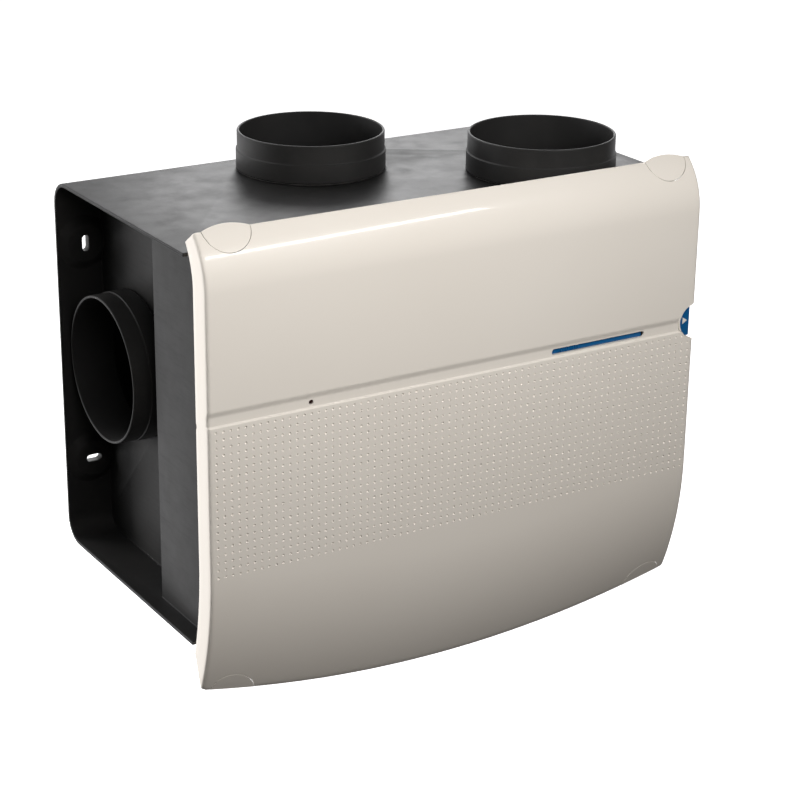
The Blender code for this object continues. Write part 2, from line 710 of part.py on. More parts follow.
def clip_patch(name, side, upper, spare, material=None):
    """A round patch of the cover's own skin at a corner, or its cutter when it has spare room."""
    radius = CLIP_R + spare
    drop = 0.0 if upper else CLIP_DROP
    end = math.sqrt(radius ** 2 - (drop + 0.0012) ** 2)
    shape = bmesh.new()
    bmesh.ops.create_grid(shape, x_segments=CLIP_COLUMNS - 1, y_segments=CLIP_ROWS - 1, size=1.0)
    for vertex in shape.verts:
        across = end * math.sin(vertex.co.x * math.pi / 2)
        inner = math.sqrt(radius ** 2 - across ** 2) - drop
        outer = -CLIP_CROWN * (1 - (across / radius) ** 2) if upper else 0.0
        if spare:
            outer = -0.008
        share = (vertex.co.y + 1) / 2
        share = share if upper else 1 - share
        travel = inner + (outer - inner) * share
        x = side * CLIP_X + across
        if upper:
            y, z = crown_point(CROWN_ANGLE - travel / CROWN_R)
        else:
            y, z = chin_point(x, CHIN_ANGLE - travel / CHIN_R)
        vertex.co = (x, y, z)
    mesh = bpy.data.meshes.new(name)
    shape.to_mesh(mesh)
    shape.free()
    return place(name, mesh, material)


def corner_places():
    """The four corner clips: number, side and whether it is an upper one."""
    return ((1, -1, True), (2, 1, True), (3, -1, False), (4, 1, False))


def build_clips():
    """Corner clips: a round cap in the cover's skin on a rib from the front panel."""
    for number, side, upper in corner_places():
        clip = solidify(clip_patch(f"corner_clip_{number}", side, upper, 0, CREAM_PLASTIC), COVER_THICK)
        x = side * CLIP_X
        if upper:
            level = HALF_H + 0.009
            front = crown_point(math.asin((level - CROWN_Z) / CROWN_R))[0]
            low, high = HALF_H + GAP, level
        else:
            level = bottom_edge_z(x) + 0.010
            angle = math.asin((bottom_edge_z(x) + CHIN_HEIGHT - level) / CHIN_R)
            front = chin_point(x, angle)[0]
            low, high = level, -(HALF_H + GAP)
        join(clip, box(f"clip_rib_{number}", (x - RIB_HALF, front + 0.0012, low),
                       (x + RIB_HALF, PANEL_FRONT_Y, high)))


def build_cover():
    """The front cover: a curved shell with a groove, a slit, a thumb notch and clip cut-outs."""
    cover = solidify(place("front_cover", cover_surface(), CREAM_PLASTIC), COVER_THICK)
    for number, side, upper in corner_places():
        cut(cover, solidify(clip_patch(f"clip_cut_{number}", side, upper, 0.0005), 0.012, 0.0))
    slit = stadium(((SLIT_LEFT + SLIT_RIGHT) / 2, SLIT_Z), SLIT_RIGHT - SLIT_LEFT, SLIT_HEIGHT, False)
    front = COVER_FACE_Y - PAST
    cut(cover, extruded("slit_cut", [slit], front, COVER_FACE_Y + 0.008, ACROSS_Y),
        cylinder("thumb_cut", THUMB_R, THUMB_REACH + PAST, (HALF_W, front, THUMB_Z), (0, 1, 0), steps=32),
        cylinder("lens_cut", LENS_HOLE_R, 0.010, (LENS_X, front, SLIT_Z), (0, 1, 0), steps=12),
        cylinder("nick_cut", NICK_R, 0.008, (-HALF_W - PAST, FLANGE_REAR_Y + NICK_R * 0.6, NICK_Z),
                 (1, 0, 0), steps=12))
    lens = cylinder("indicator_lens", LENS_HOLE_R - GAP, LENS_LENGTH,
                    (LENS_X, COVER_FACE_Y + GROOVE_DEPTH + 0.0004, SLIT_Z), (0, 1, 0), LENS_CLEAR, 12)
    return cover, lens


def build_latch():
    """The latch slide behind the cover's groove, with its thumb tab, hook leg and guides."""
    low = SLIT_Z - LATCH_BAR_HEIGHT / 2
    high = SLIT_Z + LATCH_BAR_HEIGHT / 2
    tab_low, tab_high = THUMB_Z - TAB_HALF, THUMB_Z + TAB_HALF
    edge = HALF_W - TAB_EDGE_INSET
    outline = [(LATCH_LEFT, low), (TAB_LEFT, low), (TAB_LEFT, tab_low), (edge, tab_low),
               (edge, tab_high), (TAB_LEFT, tab_high), (TAB_LEFT, high), (LATCH_LEFT, high)]
    latch = extruded("latch_slide", [outline], LATCH_FRONT_Y, LATCH_REAR_Y, ACROSS_Y, BLUE_PLASTIC)
    join(latch, box("hook_leg", (HOOK_X - HOOK_WIDTH / 2, LATCH_REAR_Y - 0.001, low + 0.001),
                    (HOOK_X + HOOK_WIDTH / 2, LATCH_REAR_Y + HOOK_REACH, high - 0.001)))
    guides = []
    for number, x in enumerate(GUIDE_XS, 1):
        rear = LATCH_REAR_Y + GAP
        inner_low, inner_high = low - GAP, high + GAP
        outline = [(LATCH_FRONT_Y, inner_low - GUIDE_WALL), (rear + GUIDE_WALL, inner_low - GUIDE_WALL),
                   (rear + GUIDE_WALL, inner_high + GUIDE_WALL), (LATCH_FRONT_Y, inner_high + GUIDE_WALL),
                   (LATCH_FRONT_Y, inner_high), (rear, inner_high), (rear, inner_low),
                   (LATCH_FRONT_Y, inner_low)]
        guides.append(extruded(f"latch_guide_{number}", [outline], x - GUIDE_WIDTH / 2,
                               x + GUIDE_WIDTH / 2, ACROSS_X, GREY_PLASTIC))
    return latch, guides


def scroll_outline(inset):
    """Side outline (x, z) of the fan's scroll, moved in by an inset: a spiral and its mouth."""
    turns = int(round((360 - TONGUE_ANGLE) / SCROLL_STEP))
    points = []
    for i in range(turns + 1):
        angle = math.radians(TONGUE_ANGLE + (360 - TONGUE_ANGLE) * i / turns)
        radius = TONGUE_R + (SCROLL_RIGHT_R - TONGUE_R) * i / turns - inset
        points.append((FAN_X + radius * math.cos(angle), FAN_Z + radius * math.sin(angle)))
    return points + [(FAN_X + SCROLL_RIGHT_R - inset, SCROLL_TOP_Z - inset),
                     (SCROLL_MOUTH_LEFT + inset, SCROLL_TOP_Z - inset)]


def spread(count, radius, start):
    """Points (x, z) spread evenly on a circle around the fan's axis."""
    angles = [math.radians(start + 360 * i / count) for i in range(count)]
    return [(FAN_X + radius * math.cos(angle), FAN_Z + radius * math.sin(angle)) for angle in angles]


def build_scroll():
    """The scroll with its inlet ring, outlet sleeve and vibration mounts."""
    scroll = extruded("scroll_shell", [scroll_outline(0)], SCROLL_FRONT, SCROLL_REAR, ACROSS_Y,
                      BLACK_PLASTIC)
    cut(scroll, extruded("scroll_space", [scroll_outline(SCROLL_WALL)], SCROLL_FRONT + SCROLL_WALL,
                         SCROLL_REAR - SCROLL_WALL, ACROSS_Y),
        cylinder("inlet_hole", INLET_HOLE_R, 0.01, (FAN_X, SCROLL_REAR + PAST, FAN_Z), (0, -1, 0)),
        cylinder("motor_hole", MOTOR_HOLE_R, 0.01, (FAN_X, SCROLL_FRONT - PAST, FAN_Z), (0, 1, 0),
                 steps=36),
        cylinder("outlet_hole", OUTLET_R, 0.01, (FRONT_DUCT_X, FRONT_DUCT_Y, SCROLL_TOP_Z + PAST),
                 (0, 0, -1)))
    for number, (x, z) in enumerate(spread(3, PLATE_SCREW_CIRCLE_R, 90), 1):
        cut(scroll, cylinder(f"plate_hole_{number}", SCREW_HOLE_R, 0.01,
                             (x, SCROLL_FRONT - PAST, z), (0, 1, 0), steps=12))
    build_inlet_ring()
    build_outlet_sleeve()
    front = PANEL_REAR_Y + GAP
    for number, (x, z) in enumerate(spread(4, MOUNT_CIRCLE_R, 45), 1):
        cylinder(f"vibration_mount_{number}", MOUNT_R, SCROLL_FRONT - GAP - front, (x, front, z),
                 (0, 1, 0), SEAL_RUBBER, 20)


def build_inlet_ring():
    """The bell-mouthed ring that leads air from the rear space into the wheel's eye."""
    outer_r = INLET_HOLE_R - GAP
    end_r = INLET_THROAT_R
    back = 0.0023
    reach = SCROLL_WIDTH - (WHEEL_PLATE_Y - SCROLL_FRONT) - WHEEL_WIDTH + 0.0015
    turned("inlet_ring",
           ((INLET_FLANGE_R, back), (INLET_FLANGE_R, GAP), (outer_r, GAP), (outer_r - 0.002, -0.008),
            (end_r + INLET_WALL, -reach), (end_r, -reach), (end_r, -0.014), (outer_r - 0.0035, -0.004),
            (outer_r, back)),
           (FAN_X, SCROLL_REAR, FAN_Z), (0, 1, 0), GREY_PLASTIC)


def build_outlet_sleeve():
    """The soft sleeve that widens from the scroll's outlet to the front spigot."""
    top = HALF_H - WALL - BEAD_HEIGHT - 2 * GAP
    height = top - SCROLL_TOP_Z - 2 * GAP
    wide = SPIGOT_R - SPIGOT_WALL - 0.0005
    turned("outlet_sleeve",
           ((wide, height), (wide, height - 0.006), (OUTLET_R + 0.0018, 0.004), (OUTLET_R + 0.0035, 0.002),
            (OUTLET_R + 0.0035, 0), (OUTLET_R, 0), (OUTLET_R, 0.004), (wide - 0.0018, height - 0.006),
            (wide - 0.0018, height)),
           (FRONT_DUCT_X, FRONT_DUCT_Y, SCROLL_TOP_Z + GAP), (0, 0, 1), SEAL_RUBBER, 32)


def blade_outline(turn):
    """Outline (x, z) of one forward-curved blade, turned about the fan's axis."""
    outer_r = WHEEL_R - 0.0008
    steps = 3
    front, back = [], []
    for i in range(steps + 1):
        share = i / steps
        radius = BLADE_INNER_R + (outer_r - BLADE_INNER_R) * share
        angle = math.radians(turn + BLADE_LEAN * (share ** 1.6) * 0.55)
        half = math.asin(BLADE_THICK / 2 / radius) * (1 + 0.9 * share)
        front.append((FAN_X + radius * math.cos(angle + half), FAN_Z + radius * math.sin(angle + half)))
        back.append((FAN_X + radius * math.cos(angle - half), FAN_Z + radius * math.sin(angle - half)))
    return back + front[::-1]


def build_wheel():
    """The fan wheel: back plate, forward-curved blades and eye ring as one moulding."""
    wheel = ring("impeller", ROTOR_R + GAP, WHEEL_R, WHEEL_PLATE, (FAN_X, WHEEL_PLATE_Y, FAN_Z),
                 (0, 1, 0), BLACK_PLASTIC, 56)
    end = WHEEL_PLATE_Y + WHEEL_WIDTH
    blades = [blade_outline(360 * i / BLADE_COUNT) for i in range(BLADE_COUNT)]
    join(wheel, extruded("blades", blades, WHEEL_PLATE_Y + WHEEL_PLATE / 2,
                         end - WHEEL_RING_WIDTH / 2, ACROSS_Y),
         ring("eye_ring", WHEEL_EYE_R, WHEEL_R, WHEEL_RING_WIDTH,
              (FAN_X, end - WHEEL_RING_WIDTH, FAN_Z), (0, 1, 0), steps=56))
    return wheel


def build_motor():
    """The external-rotor motor: rotor cup and shaft turn, stator and bearings stand still."""
    axis = (0, 1, 0)
    bore = SHAFT_R + GAP
    rotor = turned("motor_rotor",
                   ((ROTOR_R, ROTOR_LENGTH), (ROTOR_R, 0), (ROTOR_R - ROTOR_WALL, 0),
                    (ROTOR_R - ROTOR_WALL, ROTOR_LENGTH - ROTOR_END), (bore, ROTOR_LENGTH - ROTOR_END),
                    (bore, ROTOR_LENGTH)),
                   (FAN_X, ROTOR_FRONT, FAN_Z), axis, CAST_ALUMINIUM, 32)
    start = SCROLL_FRONT
    bearing_bore = BEARING_R + GAP
    turned("motor_stator",
           ((STATOR_R, STATOR_LENGTH), (STATOR_R, STATOR_FLANGE), (STATOR_FLANGE_R, STATOR_FLANGE),
            (STATOR_FLANGE_R, 0), (bearing_bore, 0), (bearing_bore, STATOR_LENGTH)),
           (FAN_X, start, FAN_Z), axis, CAST_ALUMINIUM, 32)
    shaft = cylinder("motor_shaft", SHAFT_R, SHAFT_LENGTH, (FAN_X, start + 0.001, FAN_Z), axis,
                     ZINC_STEEL, 24)
    for label, y in zip(("front", "rear"), BEARING_YS):
        ring(f"bearing_{label}", SHAFT_R + RUN, BEARING_R, BEARING_LENGTH, (FAN_X, y, FAN_Z), axis,
             ZINC_STEEL, 24)
    cylinder("motor_plate", PLATE_R, PLATE_THICK, (FAN_X, start - GAP, FAN_Z), (0, -1, 0),
             ZINC_STEEL, 32)
    plate = bpy.data.objects["motor_plate"]
    for number, (x, z) in enumerate(spread(3, PLATE_SCREW_CIRCLE_R, 90), 1):
        cut(plate, cylinder(f"plate_screw_hole_{number}", SCREW_HOLE_R, 0.01, (x, start + PAST, z),
                            (0, -1, 0), steps=12))
        screw(f"plate_screw_{number}", 0.007, (x, start - PLATE_THICK - 2 * GAP, z), (0, -1, 0))
    return rotor, shaft


def board_block(name, x, z, size_x, size_z, material, height=PART_HEIGHT):
    """A block-shaped component on the control board."""
    front = BOARD_FRONT_Y - GAP
    return box(name, (x - size_x / 2, front - height, z - size_z / 2),
               (x + size_x / 2, front, z + size_z / 2), material)


def knob_places():
    """The three speed knobs (x, z)."""
    return [(KNOB_X + i * KNOB_PITCH, KNOB_Z) for i in range(3)]


def build_controls():
    """The control board with its components, speed knobs and box lid."""
    box("control_board", (BOARD_X[0], BOARD_FRONT_Y, BOARD_Z[0]),
        (BOARD_X[1], BOARD_REAR_Y, BOARD_Z[1]), BOARD_GREEN)
    board_block("transformer", -0.100, 0.045, 0.034, 0.030, BLACK_PLASTIC)
    board_block("relay", -0.145, 0.052, 0.028, 0.012, BLUE_PLASTIC)
    board_block("terminal_block", -0.100, -0.026, 0.034, 0.012, GREY_PLASTIC)
    board_block("choke", -0.100, 0.010, 0.020, 0.018, ZINC_STEEL)
    cylinder("capacitor", 0.006, PART_HEIGHT, (-0.180, BOARD_FRONT_Y - GAP, 0.045), (0, -1, 0),
             BLACK_PLASTIC, 20)
    lid = box("control_lid",
              (BOARD_X[0] - BOX_MARGIN, BOX_FRONT_Y, BOARD_Z[0] - BOX_MARGIN),
              (BOARD_X[1] + BOX_MARGIN, PANEL_FRONT_Y - GAP, BOARD_Z[1] + BOX_MARGIN), BLACK_PLASTIC)
    inner = BOX_MARGIN - BOX_WALL
    cut(lid, box("lid_space", (BOARD_X[0] - inner, BOX_FRONT_Y + BOX_WALL, BOARD_Z[0] - inner),
                 (BOARD_X[1] + inner, PANEL_FRONT_Y + PAST, BOARD_Z[1] + inner)))
    knobs = []
    for number, (x, z) in enumerate(knob_places(), 1):
        back = BOARD_FRONT_Y - GAP
        front = BOX_FRONT_Y - KNOB_STANDOUT
        knob = cylinder(f"speed_knob_{number}", KNOB_R, back - front, (x, back, z), (0, -1, 0),
                        GREY_PLASTIC, 20)
        cut(knob, box(f"knob_slot_{number}", (x - KNOB_SLOT / 2, front - PAST, z - KNOB_R - PAST),
                      (x + KNOB_SLOT / 2, front + 0.0015, z + KNOB_R + PAST)))
        cut(lid, cylinder(f"knob_hole_{number}", KNOB_R + 0.0005, 0.01,
                          (x, BOX_FRONT_Y - PAST, z), (0, 1, 0), steps=20))
        knobs.append(knob)
    return knobs


def build_gland():
    """The cable gland in the bottom panel and the nut that holds it."""
    bottom = -HALF_H
    outer = GLAND_HEAD_R
    turned("cable_gland",
           ((GLAND_R, WALL + GLAND_NUT + 0.003), (GLAND_R, -GAP), (outer, -GAP), (outer, -0.006),
            (outer * 0.72, -GLAND_HEAD), (GLAND_BORE_R, -GLAND_HEAD),
            (GLAND_BORE_R, WALL + GLAND_NUT + 0.003)),
           (GLAND_X, GLAND_Y, bottom), (0, 0, 1), GREY_PLASTIC, 24)
    seat = (GLAND_X, GLAND_Y, bottom + WALL + GAP)
    nut = cylinder("gland_nut", outer * 1.15, GLAND_NUT, seat, (0, 0, 1), GREY_PLASTIC, 6)
    cut(nut, cylinder("gland_nut_bore", GLAND_R + GAP, GLAND_NUT + 2 * PAST,
                      Vector(seat) - Vector((0, 0, PAST)), (0, 0, 1), steps=24))


def build():
    """Build every piece and hang the moving ones from their joints' empties."""
    build_housing()
    build_spigots()
    build_panel()
    build_scroll()
    wheel = build_wheel()
    rotor, shaft = build_motor()
    knobs = build_controls()
    build_gland()
    build_clips()
    cover, lens = build_cover()
    latch, guides = build_latch()
    hang(axis_empty("fan_axis", (FAN_X, WHEEL_PLATE_Y, FAN_Z)), wheel, rotor, shaft)
    hang(axis_empty("cover_axis", (0, COVER_FACE_Y, 0)), cover, lens, *guides)
    hang(axis_empty("latch_axis", (0, LATCH_FRONT_Y, SLIT_Z)), latch)
    for number, (knob, (x, z)) in enumerate(zip(knobs, knob_places()), 1):
        hang(axis_empty(f"knob_axis_{number}", (x, BOARD_FRONT_Y, z)), knob)


build()
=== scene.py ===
"""Looks of the wall-hung box fan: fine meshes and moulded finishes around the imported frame.

Sizes are in metres in the part's own frame: the origin is the middle of the back plate's wall
face, +X points right as the unit is faced, -Y points out of the wall and +Z points up.
"""
import json
import logging
import math
from dataclasses import dataclass
from enum import Enum
from functools import lru_cache
from typing import Any, Callable, Iterable, Optional, Sequence, Union

import bmesh
import bpy
from mathutils import Matrix, Vector

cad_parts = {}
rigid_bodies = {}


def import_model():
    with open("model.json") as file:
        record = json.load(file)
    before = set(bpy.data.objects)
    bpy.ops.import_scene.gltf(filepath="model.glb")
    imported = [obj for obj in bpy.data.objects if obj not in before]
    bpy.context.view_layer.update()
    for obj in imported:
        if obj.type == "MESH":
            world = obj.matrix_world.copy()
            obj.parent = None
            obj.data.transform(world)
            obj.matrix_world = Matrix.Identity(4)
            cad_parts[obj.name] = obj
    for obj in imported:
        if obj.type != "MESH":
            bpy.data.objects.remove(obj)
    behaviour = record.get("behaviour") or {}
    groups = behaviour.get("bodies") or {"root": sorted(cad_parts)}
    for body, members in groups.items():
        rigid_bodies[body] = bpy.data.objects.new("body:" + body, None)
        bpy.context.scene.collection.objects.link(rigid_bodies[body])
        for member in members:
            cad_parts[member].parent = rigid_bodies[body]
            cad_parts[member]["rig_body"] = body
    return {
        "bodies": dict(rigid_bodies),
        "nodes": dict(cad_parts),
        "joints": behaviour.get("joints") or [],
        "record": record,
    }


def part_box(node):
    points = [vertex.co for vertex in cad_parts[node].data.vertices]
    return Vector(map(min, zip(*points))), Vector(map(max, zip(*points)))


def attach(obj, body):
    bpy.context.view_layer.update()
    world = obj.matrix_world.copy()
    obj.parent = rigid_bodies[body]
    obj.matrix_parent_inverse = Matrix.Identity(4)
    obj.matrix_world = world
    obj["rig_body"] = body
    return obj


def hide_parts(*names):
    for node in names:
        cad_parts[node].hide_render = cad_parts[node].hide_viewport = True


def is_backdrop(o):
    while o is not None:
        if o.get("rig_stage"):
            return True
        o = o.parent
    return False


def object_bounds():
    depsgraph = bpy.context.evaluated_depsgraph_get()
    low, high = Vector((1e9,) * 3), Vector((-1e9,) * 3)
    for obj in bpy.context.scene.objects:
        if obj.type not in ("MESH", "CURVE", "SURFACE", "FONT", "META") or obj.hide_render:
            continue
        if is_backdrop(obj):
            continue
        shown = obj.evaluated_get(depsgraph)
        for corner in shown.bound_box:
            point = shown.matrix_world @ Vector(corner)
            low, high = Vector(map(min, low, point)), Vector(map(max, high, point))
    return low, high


LOG = logging.getLogger("box_fan")
Colour = tuple[float, float, float]
Point = tuple[float, float, float]
Flat = tuple[float, float]


# --------------------------------------------------------------------------- shader tools
class Socket:
    """An output socket that takes part in number arithmetic."""

    def __init__(self, graph: "Tree", output: bpy.types.NodeSocket) -> None:
        """Keep the graph and the output socket."""
        self.graph = graph
        self.output = output

    def _math(self, operation: str, first: "Feed", second: "Feed" = 0.0) -> "Socket":
        """Add a Math node on two feeds."""
        return self.graph.node("ShaderNodeMath", {"operation": operation}, {0: first, 1: second})

    def __add__(self, other: "Feed") -> "Socket":
        """Sum of two numbers."""
        return self._math("ADD", self, other)

    def __radd__(self, other: "Feed") -> "Socket":
        """Sum of two numbers, reflected."""
        return self._math("ADD", other, self)

    def __rsub__(self, other: "Feed") -> "Socket":
        """Difference of two numbers, reflected."""
        return self._math("SUBTRACT", other, self)

    def __mul__(self, other: "Feed") -> "Socket":
        """Product of two numbers."""
        return self._math("MULTIPLY", self, other)

    def larger(self, other: "Feed") -> "Socket":
        """The larger of two numbers."""
        return self._math("MAXIMUM", self, other)

    def above(self, level: "Feed") -> "Socket":
        """One where the number is above a level, and zero elsewhere."""
        return self._math("GREATER_THAN", self, level)


Feed = Union[Socket, float, int, Sequence[float]]


class Tree:
    """A node tree that takes every node through one method."""

    def __init__(self, tree: bpy.types.NodeTree) -> None:
        """Keep the tree."""
        self.tree = tree

    def feed(self, socket: bpy.types.NodeSocket, value: Feed) -> None:
        """Link a socket to another, or set its value."""
        if isinstance(value, Socket):
            self.tree.links.new(value.output, socket)
        else:
            socket.default_value = value

    def node(self, kind: str, settings: Optional[dict[str, Any]] = None,
             inputs: Optional[dict[Union[str, int], Feed]] = None, output: Union[str, int] = 0) -> Socket:
        """Add a node: its settings first, then the values or links of its sockets.

        Args:
            kind: the node's type.
            settings: its settings; "stops" are a ramp's (place, colour) pairs.
            inputs: the values or links of its sockets, by name or number.
            output: the output socket to hand back.

        Returns:
            The chosen output socket.
        """
        node = self.tree.nodes.new(kind)
        for key, value in (settings or {}).items():
            if key == "stops":
                elements = node.color_ramp.elements
                while len(elements) < len(value):
                    elements.new(0.5)
                for element, (place, colour) in zip(elements, value):
                    element.position = place
                    element.color = (*colour, 1.0)
            else:
                setattr(node, key, value)
        for key, value in (inputs or {}).items():
            self.feed(node.inputs[key], value)
        return Socket(self, node.outputs[output])


class Graph(Tree):
    """The node tree of one finish, around a Principled shader."""

    def __init__(self, name: str) -> None:
        """Make the material with an empty tree.

        Args:
            name: the material's name.
        """
        self.material = bpy.data.materials.new(name)
        self.material.use_nodes = True
        super().__init__(self.material.node_tree)
        self.tree.nodes.clear()
        self.shader = self.tree.nodes.new("ShaderNodeBsdfPrincipled")
        output = self.tree.nodes.new("ShaderNodeOutputMaterial")
        self.tree.links.new(self.shader.outputs[0], output.inputs[0])

    def place(self, scale: Point = (1.0, 1.0, 1.0)) -> Socket:
        """Object coordinates in metres, stretched by a scale.

        Args:
            scale: the stretch along each axis.

        Returns:
            The coordinates.
        """
        where = self.node("ShaderNodeTexCoord", output="Object")
        return self.node("ShaderNodeVectorMath", {"operation": "MULTIPLY"}, {0: where, 1: scale})

    def noise(self, scale: float, detail: float = 2.0, stretch: Point = (1.0, 1.0, 1.0)) -> Socket:
        """A noise number around one half.

        Args:
            scale: features per metre.
            detail: octaves.
            stretch: the stretch along each axis.

        Returns:
            The number.
        """
        return self.node("ShaderNodeTexNoise", {}, {"Vector": self.place(stretch), "Scale": scale,
                                                    "Detail": detail, "Roughness": 0.55}, "Fac")

    def spread(self, value: Socket, low: float, high: float, start: float = 0.3,
               end: float = 0.7) -> Socket:
        """Map a number's usual range onto another range, clamped.

        Args:
            value: the number.
            low: result at the start.
            high: result at the end.
            start: where the range starts.
            end: where the range ends.

        Returns:
            The mapped number.
        """
        return self.node("ShaderNodeMapRange", {"clamp": True},
                         {0: value, 1: start, 2: end, 3: low, 4: high})

    def mix(self, share: Feed, first: Union[Socket, Colour], second: Union[Socket, Colour]) -> Socket:
        """Mix two colours.

        Args:
            share: how much of the second colour shows.
            first: the first colour.
            second: the second colour.

        Returns:
            The mixed colour.
        """
        sides = [side if isinstance(side, Socket) else (*side, 1.0) for side in (first, second)]
        return self.node("ShaderNodeMix", {"data_type": "RGBA"}, {0: share, 6: sides[0], 7: sides[1]}, 2)

    def bump(self, height: Socket, depth: float, under: Optional[Socket] = None) -> Socket:
        """Turn a height number into a bumped normal.

        Args:
            height: the height from zero to one.
            depth: how deep one is, in metres.
            under: a normal to build on.

        Returns:
            The normal.
        """
        inputs: dict[Union[str, int], Feed] = {"Height": height, "Distance": depth, "Strength": 1.0}
        if under is not None:
            inputs["Normal"] = under
        return self.node("ShaderNodeBump", {}, inputs)

    def finish(self, **sockets: Feed) -> bpy.types.Material:
        """Feed the shader's sockets, named with _ for a space, and hand back the material.

        Args:
            sockets: values or links by socket name.

        Returns:
            The finished material.
        """
        for name, value in sockets.items():
            if isinstance(value, tuple) and len(value) == 3:
                value = (*value, 1.0)
            self.feed(self.shader.inputs[name.replace("_", " ")], value)
        return self.material


# --------------------------------------------------------------------------- finishes
@dataclass(frozen=True)
class Surface:
    """What every finish has: a name and two tones that it drifts between."""

    name: str
    colour: Colour
    pale: Colour


@dataclass(frozen=True)
class SatinMoulding(Surface):
    """A moulded plastic with a spark-eroded satin skin and faint flow marks."""

    roughness: float = 0.42
    grain: float = 1500.0
    grain_depth: float = 0.00003
    specular: float = 0.5

    def material(self) -> bpy.types.Material:
        """Make the material.

        Returns:
            The material.
        """
        graph = Graph(self.name)
        flow = graph.noise(9.0, 4.0, (1.0, 1.0, 0.45))
        cloud = graph.noise(60.0, 3.0)
        grain = graph.noise(self.grain, 3.0)
        scuff = graph.noise(35.0, 6.0, (1.0, 1.0, 9.0))
        tone = graph.mix(graph.spread(flow * 0.7 + cloud * 0.3, 0.0, 1.0), self.colour, self.pale)
        rough = (self.roughness - 0.05 + graph.spread(cloud, 0.0, 0.07)
                 + graph.spread(scuff, 0.0, 0.05, 0.5, 0.72))
        normal = graph.bump(grain, self.grain_depth, graph.bump(flow, 0.00003))
        return graph.finish(Base_Color=tone, Roughness=rough, Normal=normal,
                            Specular_IOR_Level=self.specular)


@dataclass(frozen=True)
class GlossMoulding(Surface):
    """A high-gloss moulded plastic with a trace of orange peel and sink marks."""

    roughness: float = 0.24
    coat: float = 0.8

    def material(self) -> bpy.types.Material:
        """Make the material.

        Returns:
            The material.
        """
        graph = Graph(self.name)
        flow = graph.noise(5.0, 3.0)
        haze = graph.noise(48.0, 4.0)
        peel = graph.noise(420.0, 2.0)
        tone = graph.mix(graph.spread(flow, 0.0, 1.0), self.colour, self.pale)
        rough = self.roughness - 0.02 + graph.spread(haze, 0.0, 0.05)
        normal = graph.bump(peel, 0.0000022, graph.bump(flow, 0.00006))
        return graph.finish(Base_Color=tone, Roughness=rough, Normal=normal, Coat_Weight=self.coat,
                            Coat_Roughness=0.05)


@dataclass(frozen=True)
class SoftRubber(Surface):
    """A matt black elastomer with a dusty bloom."""

    def material(self) -> bpy.types.Material:
        """Make the material.

        Returns:
            The material.
        """
        graph = Graph(self.name)
        bloom = graph.noise(120.0, 5.0)
        pores = graph.noise(2400.0, 2.0)
        tone = graph.mix(graph.spread(bloom, 0.0, 1.0, 0.4, 0.7), self.colour, self.pale)
        return graph.finish(Base_Color=tone, Roughness=graph.spread(bloom, 0.72, 0.9),
                            Normal=graph.bump(pores, 0.00004))


@dataclass(frozen=True)
class BareMetal(Surface):
    """A metal with rolled or cast texture and uneven polish."""

    roughness: float
    stretch: Point
    grain: float
    grain_depth: float

    def material(self) -> bpy.types.Material:
        """Make the material.

        Returns:
            The material.
        """
        graph = Graph(self.name)
        cells = graph.node("ShaderNodeTexVoronoi", {"feature": "F1"},
                           {"Vector": graph.place(), "Scale": 160.0}, "Color")
        spangle = graph.node("ShaderNodeSeparateColor", {}, {0: cells})
        drawn = graph.noise(self.grain, 4.0, self.stretch)
        tone = graph.mix(spangle * 0.6 + drawn * 0.4, self.colour, self.pale)
        rough = self.roughness - 0.06 + spangle * 0.06 + graph.spread(drawn, 0.0, 0.1)
        return graph.finish(Base_Color=tone, Roughness=rough, Metallic=1.0,
                            Normal=graph.bump(drawn, self.grain_depth))


@dataclass(frozen=True)
class CircuitBoard(Surface):
    """Green solder mask over copper tracks, with tinned pads."""

    pad: Colour

    def material(self) -> bpy.types.Material:
        """Make the material.

        Returns:
            The material.
        """
        graph = Graph(self.name)
        turned = graph.node("ShaderNodeMapping", {}, {"Vector": graph.place(),
                                                      "Rotation": (math.pi / 2, 0.0, 0.0)})
        tracks = graph.node("ShaderNodeTexBrick", {"offset": 0.5, "squash": 0.6, "squash_frequency": 3},
                            {"Vector": turned, "Scale": 90.0, "Mortar Size": 0.09,
                             "Mortar Smooth": 0.1, "Brick Width": 0.9, "Row Height": 0.32}, "Fac")
        dots = graph.node("ShaderNodeTexVoronoi", {"feature": "F1"},
                          {"Vector": graph.place((1.0, 0.0, 1.0)), "Scale": 150.0,
                           "Randomness": 0.35}, "Distance")
        pads = 1.0 - dots.above(0.2)
        tone = graph.mix(pads, graph.mix(tracks, self.colour, self.pale), self.pad)
        height = (tracks * 0.6).larger(pads)
        return graph.finish(Base_Color=tone, Roughness=0.42 - pads * 0.15, Metallic=pads * 0.9,
                            Normal=graph.bump(height, 0.00006))


@dataclass(frozen=True)
class SmokedLens(Surface):
    """A dark clear plastic with a polished face."""

    def material(self) -> bpy.types.Material:
        """Make the material.

        Returns:
            The material.
        """
        graph = Graph(self.name)
        swirl = graph.noise(700.0, 3.0)
        tone = graph.mix(swirl, self.colour, self.pale)
        return graph.finish(Base_Color=tone, Roughness=graph.spread(swirl, 0.08, 0.16),
                            Coat_Weight=1.0, Coat_Roughness=0.03,
                            Normal=graph.bump(swirl, 0.000004))


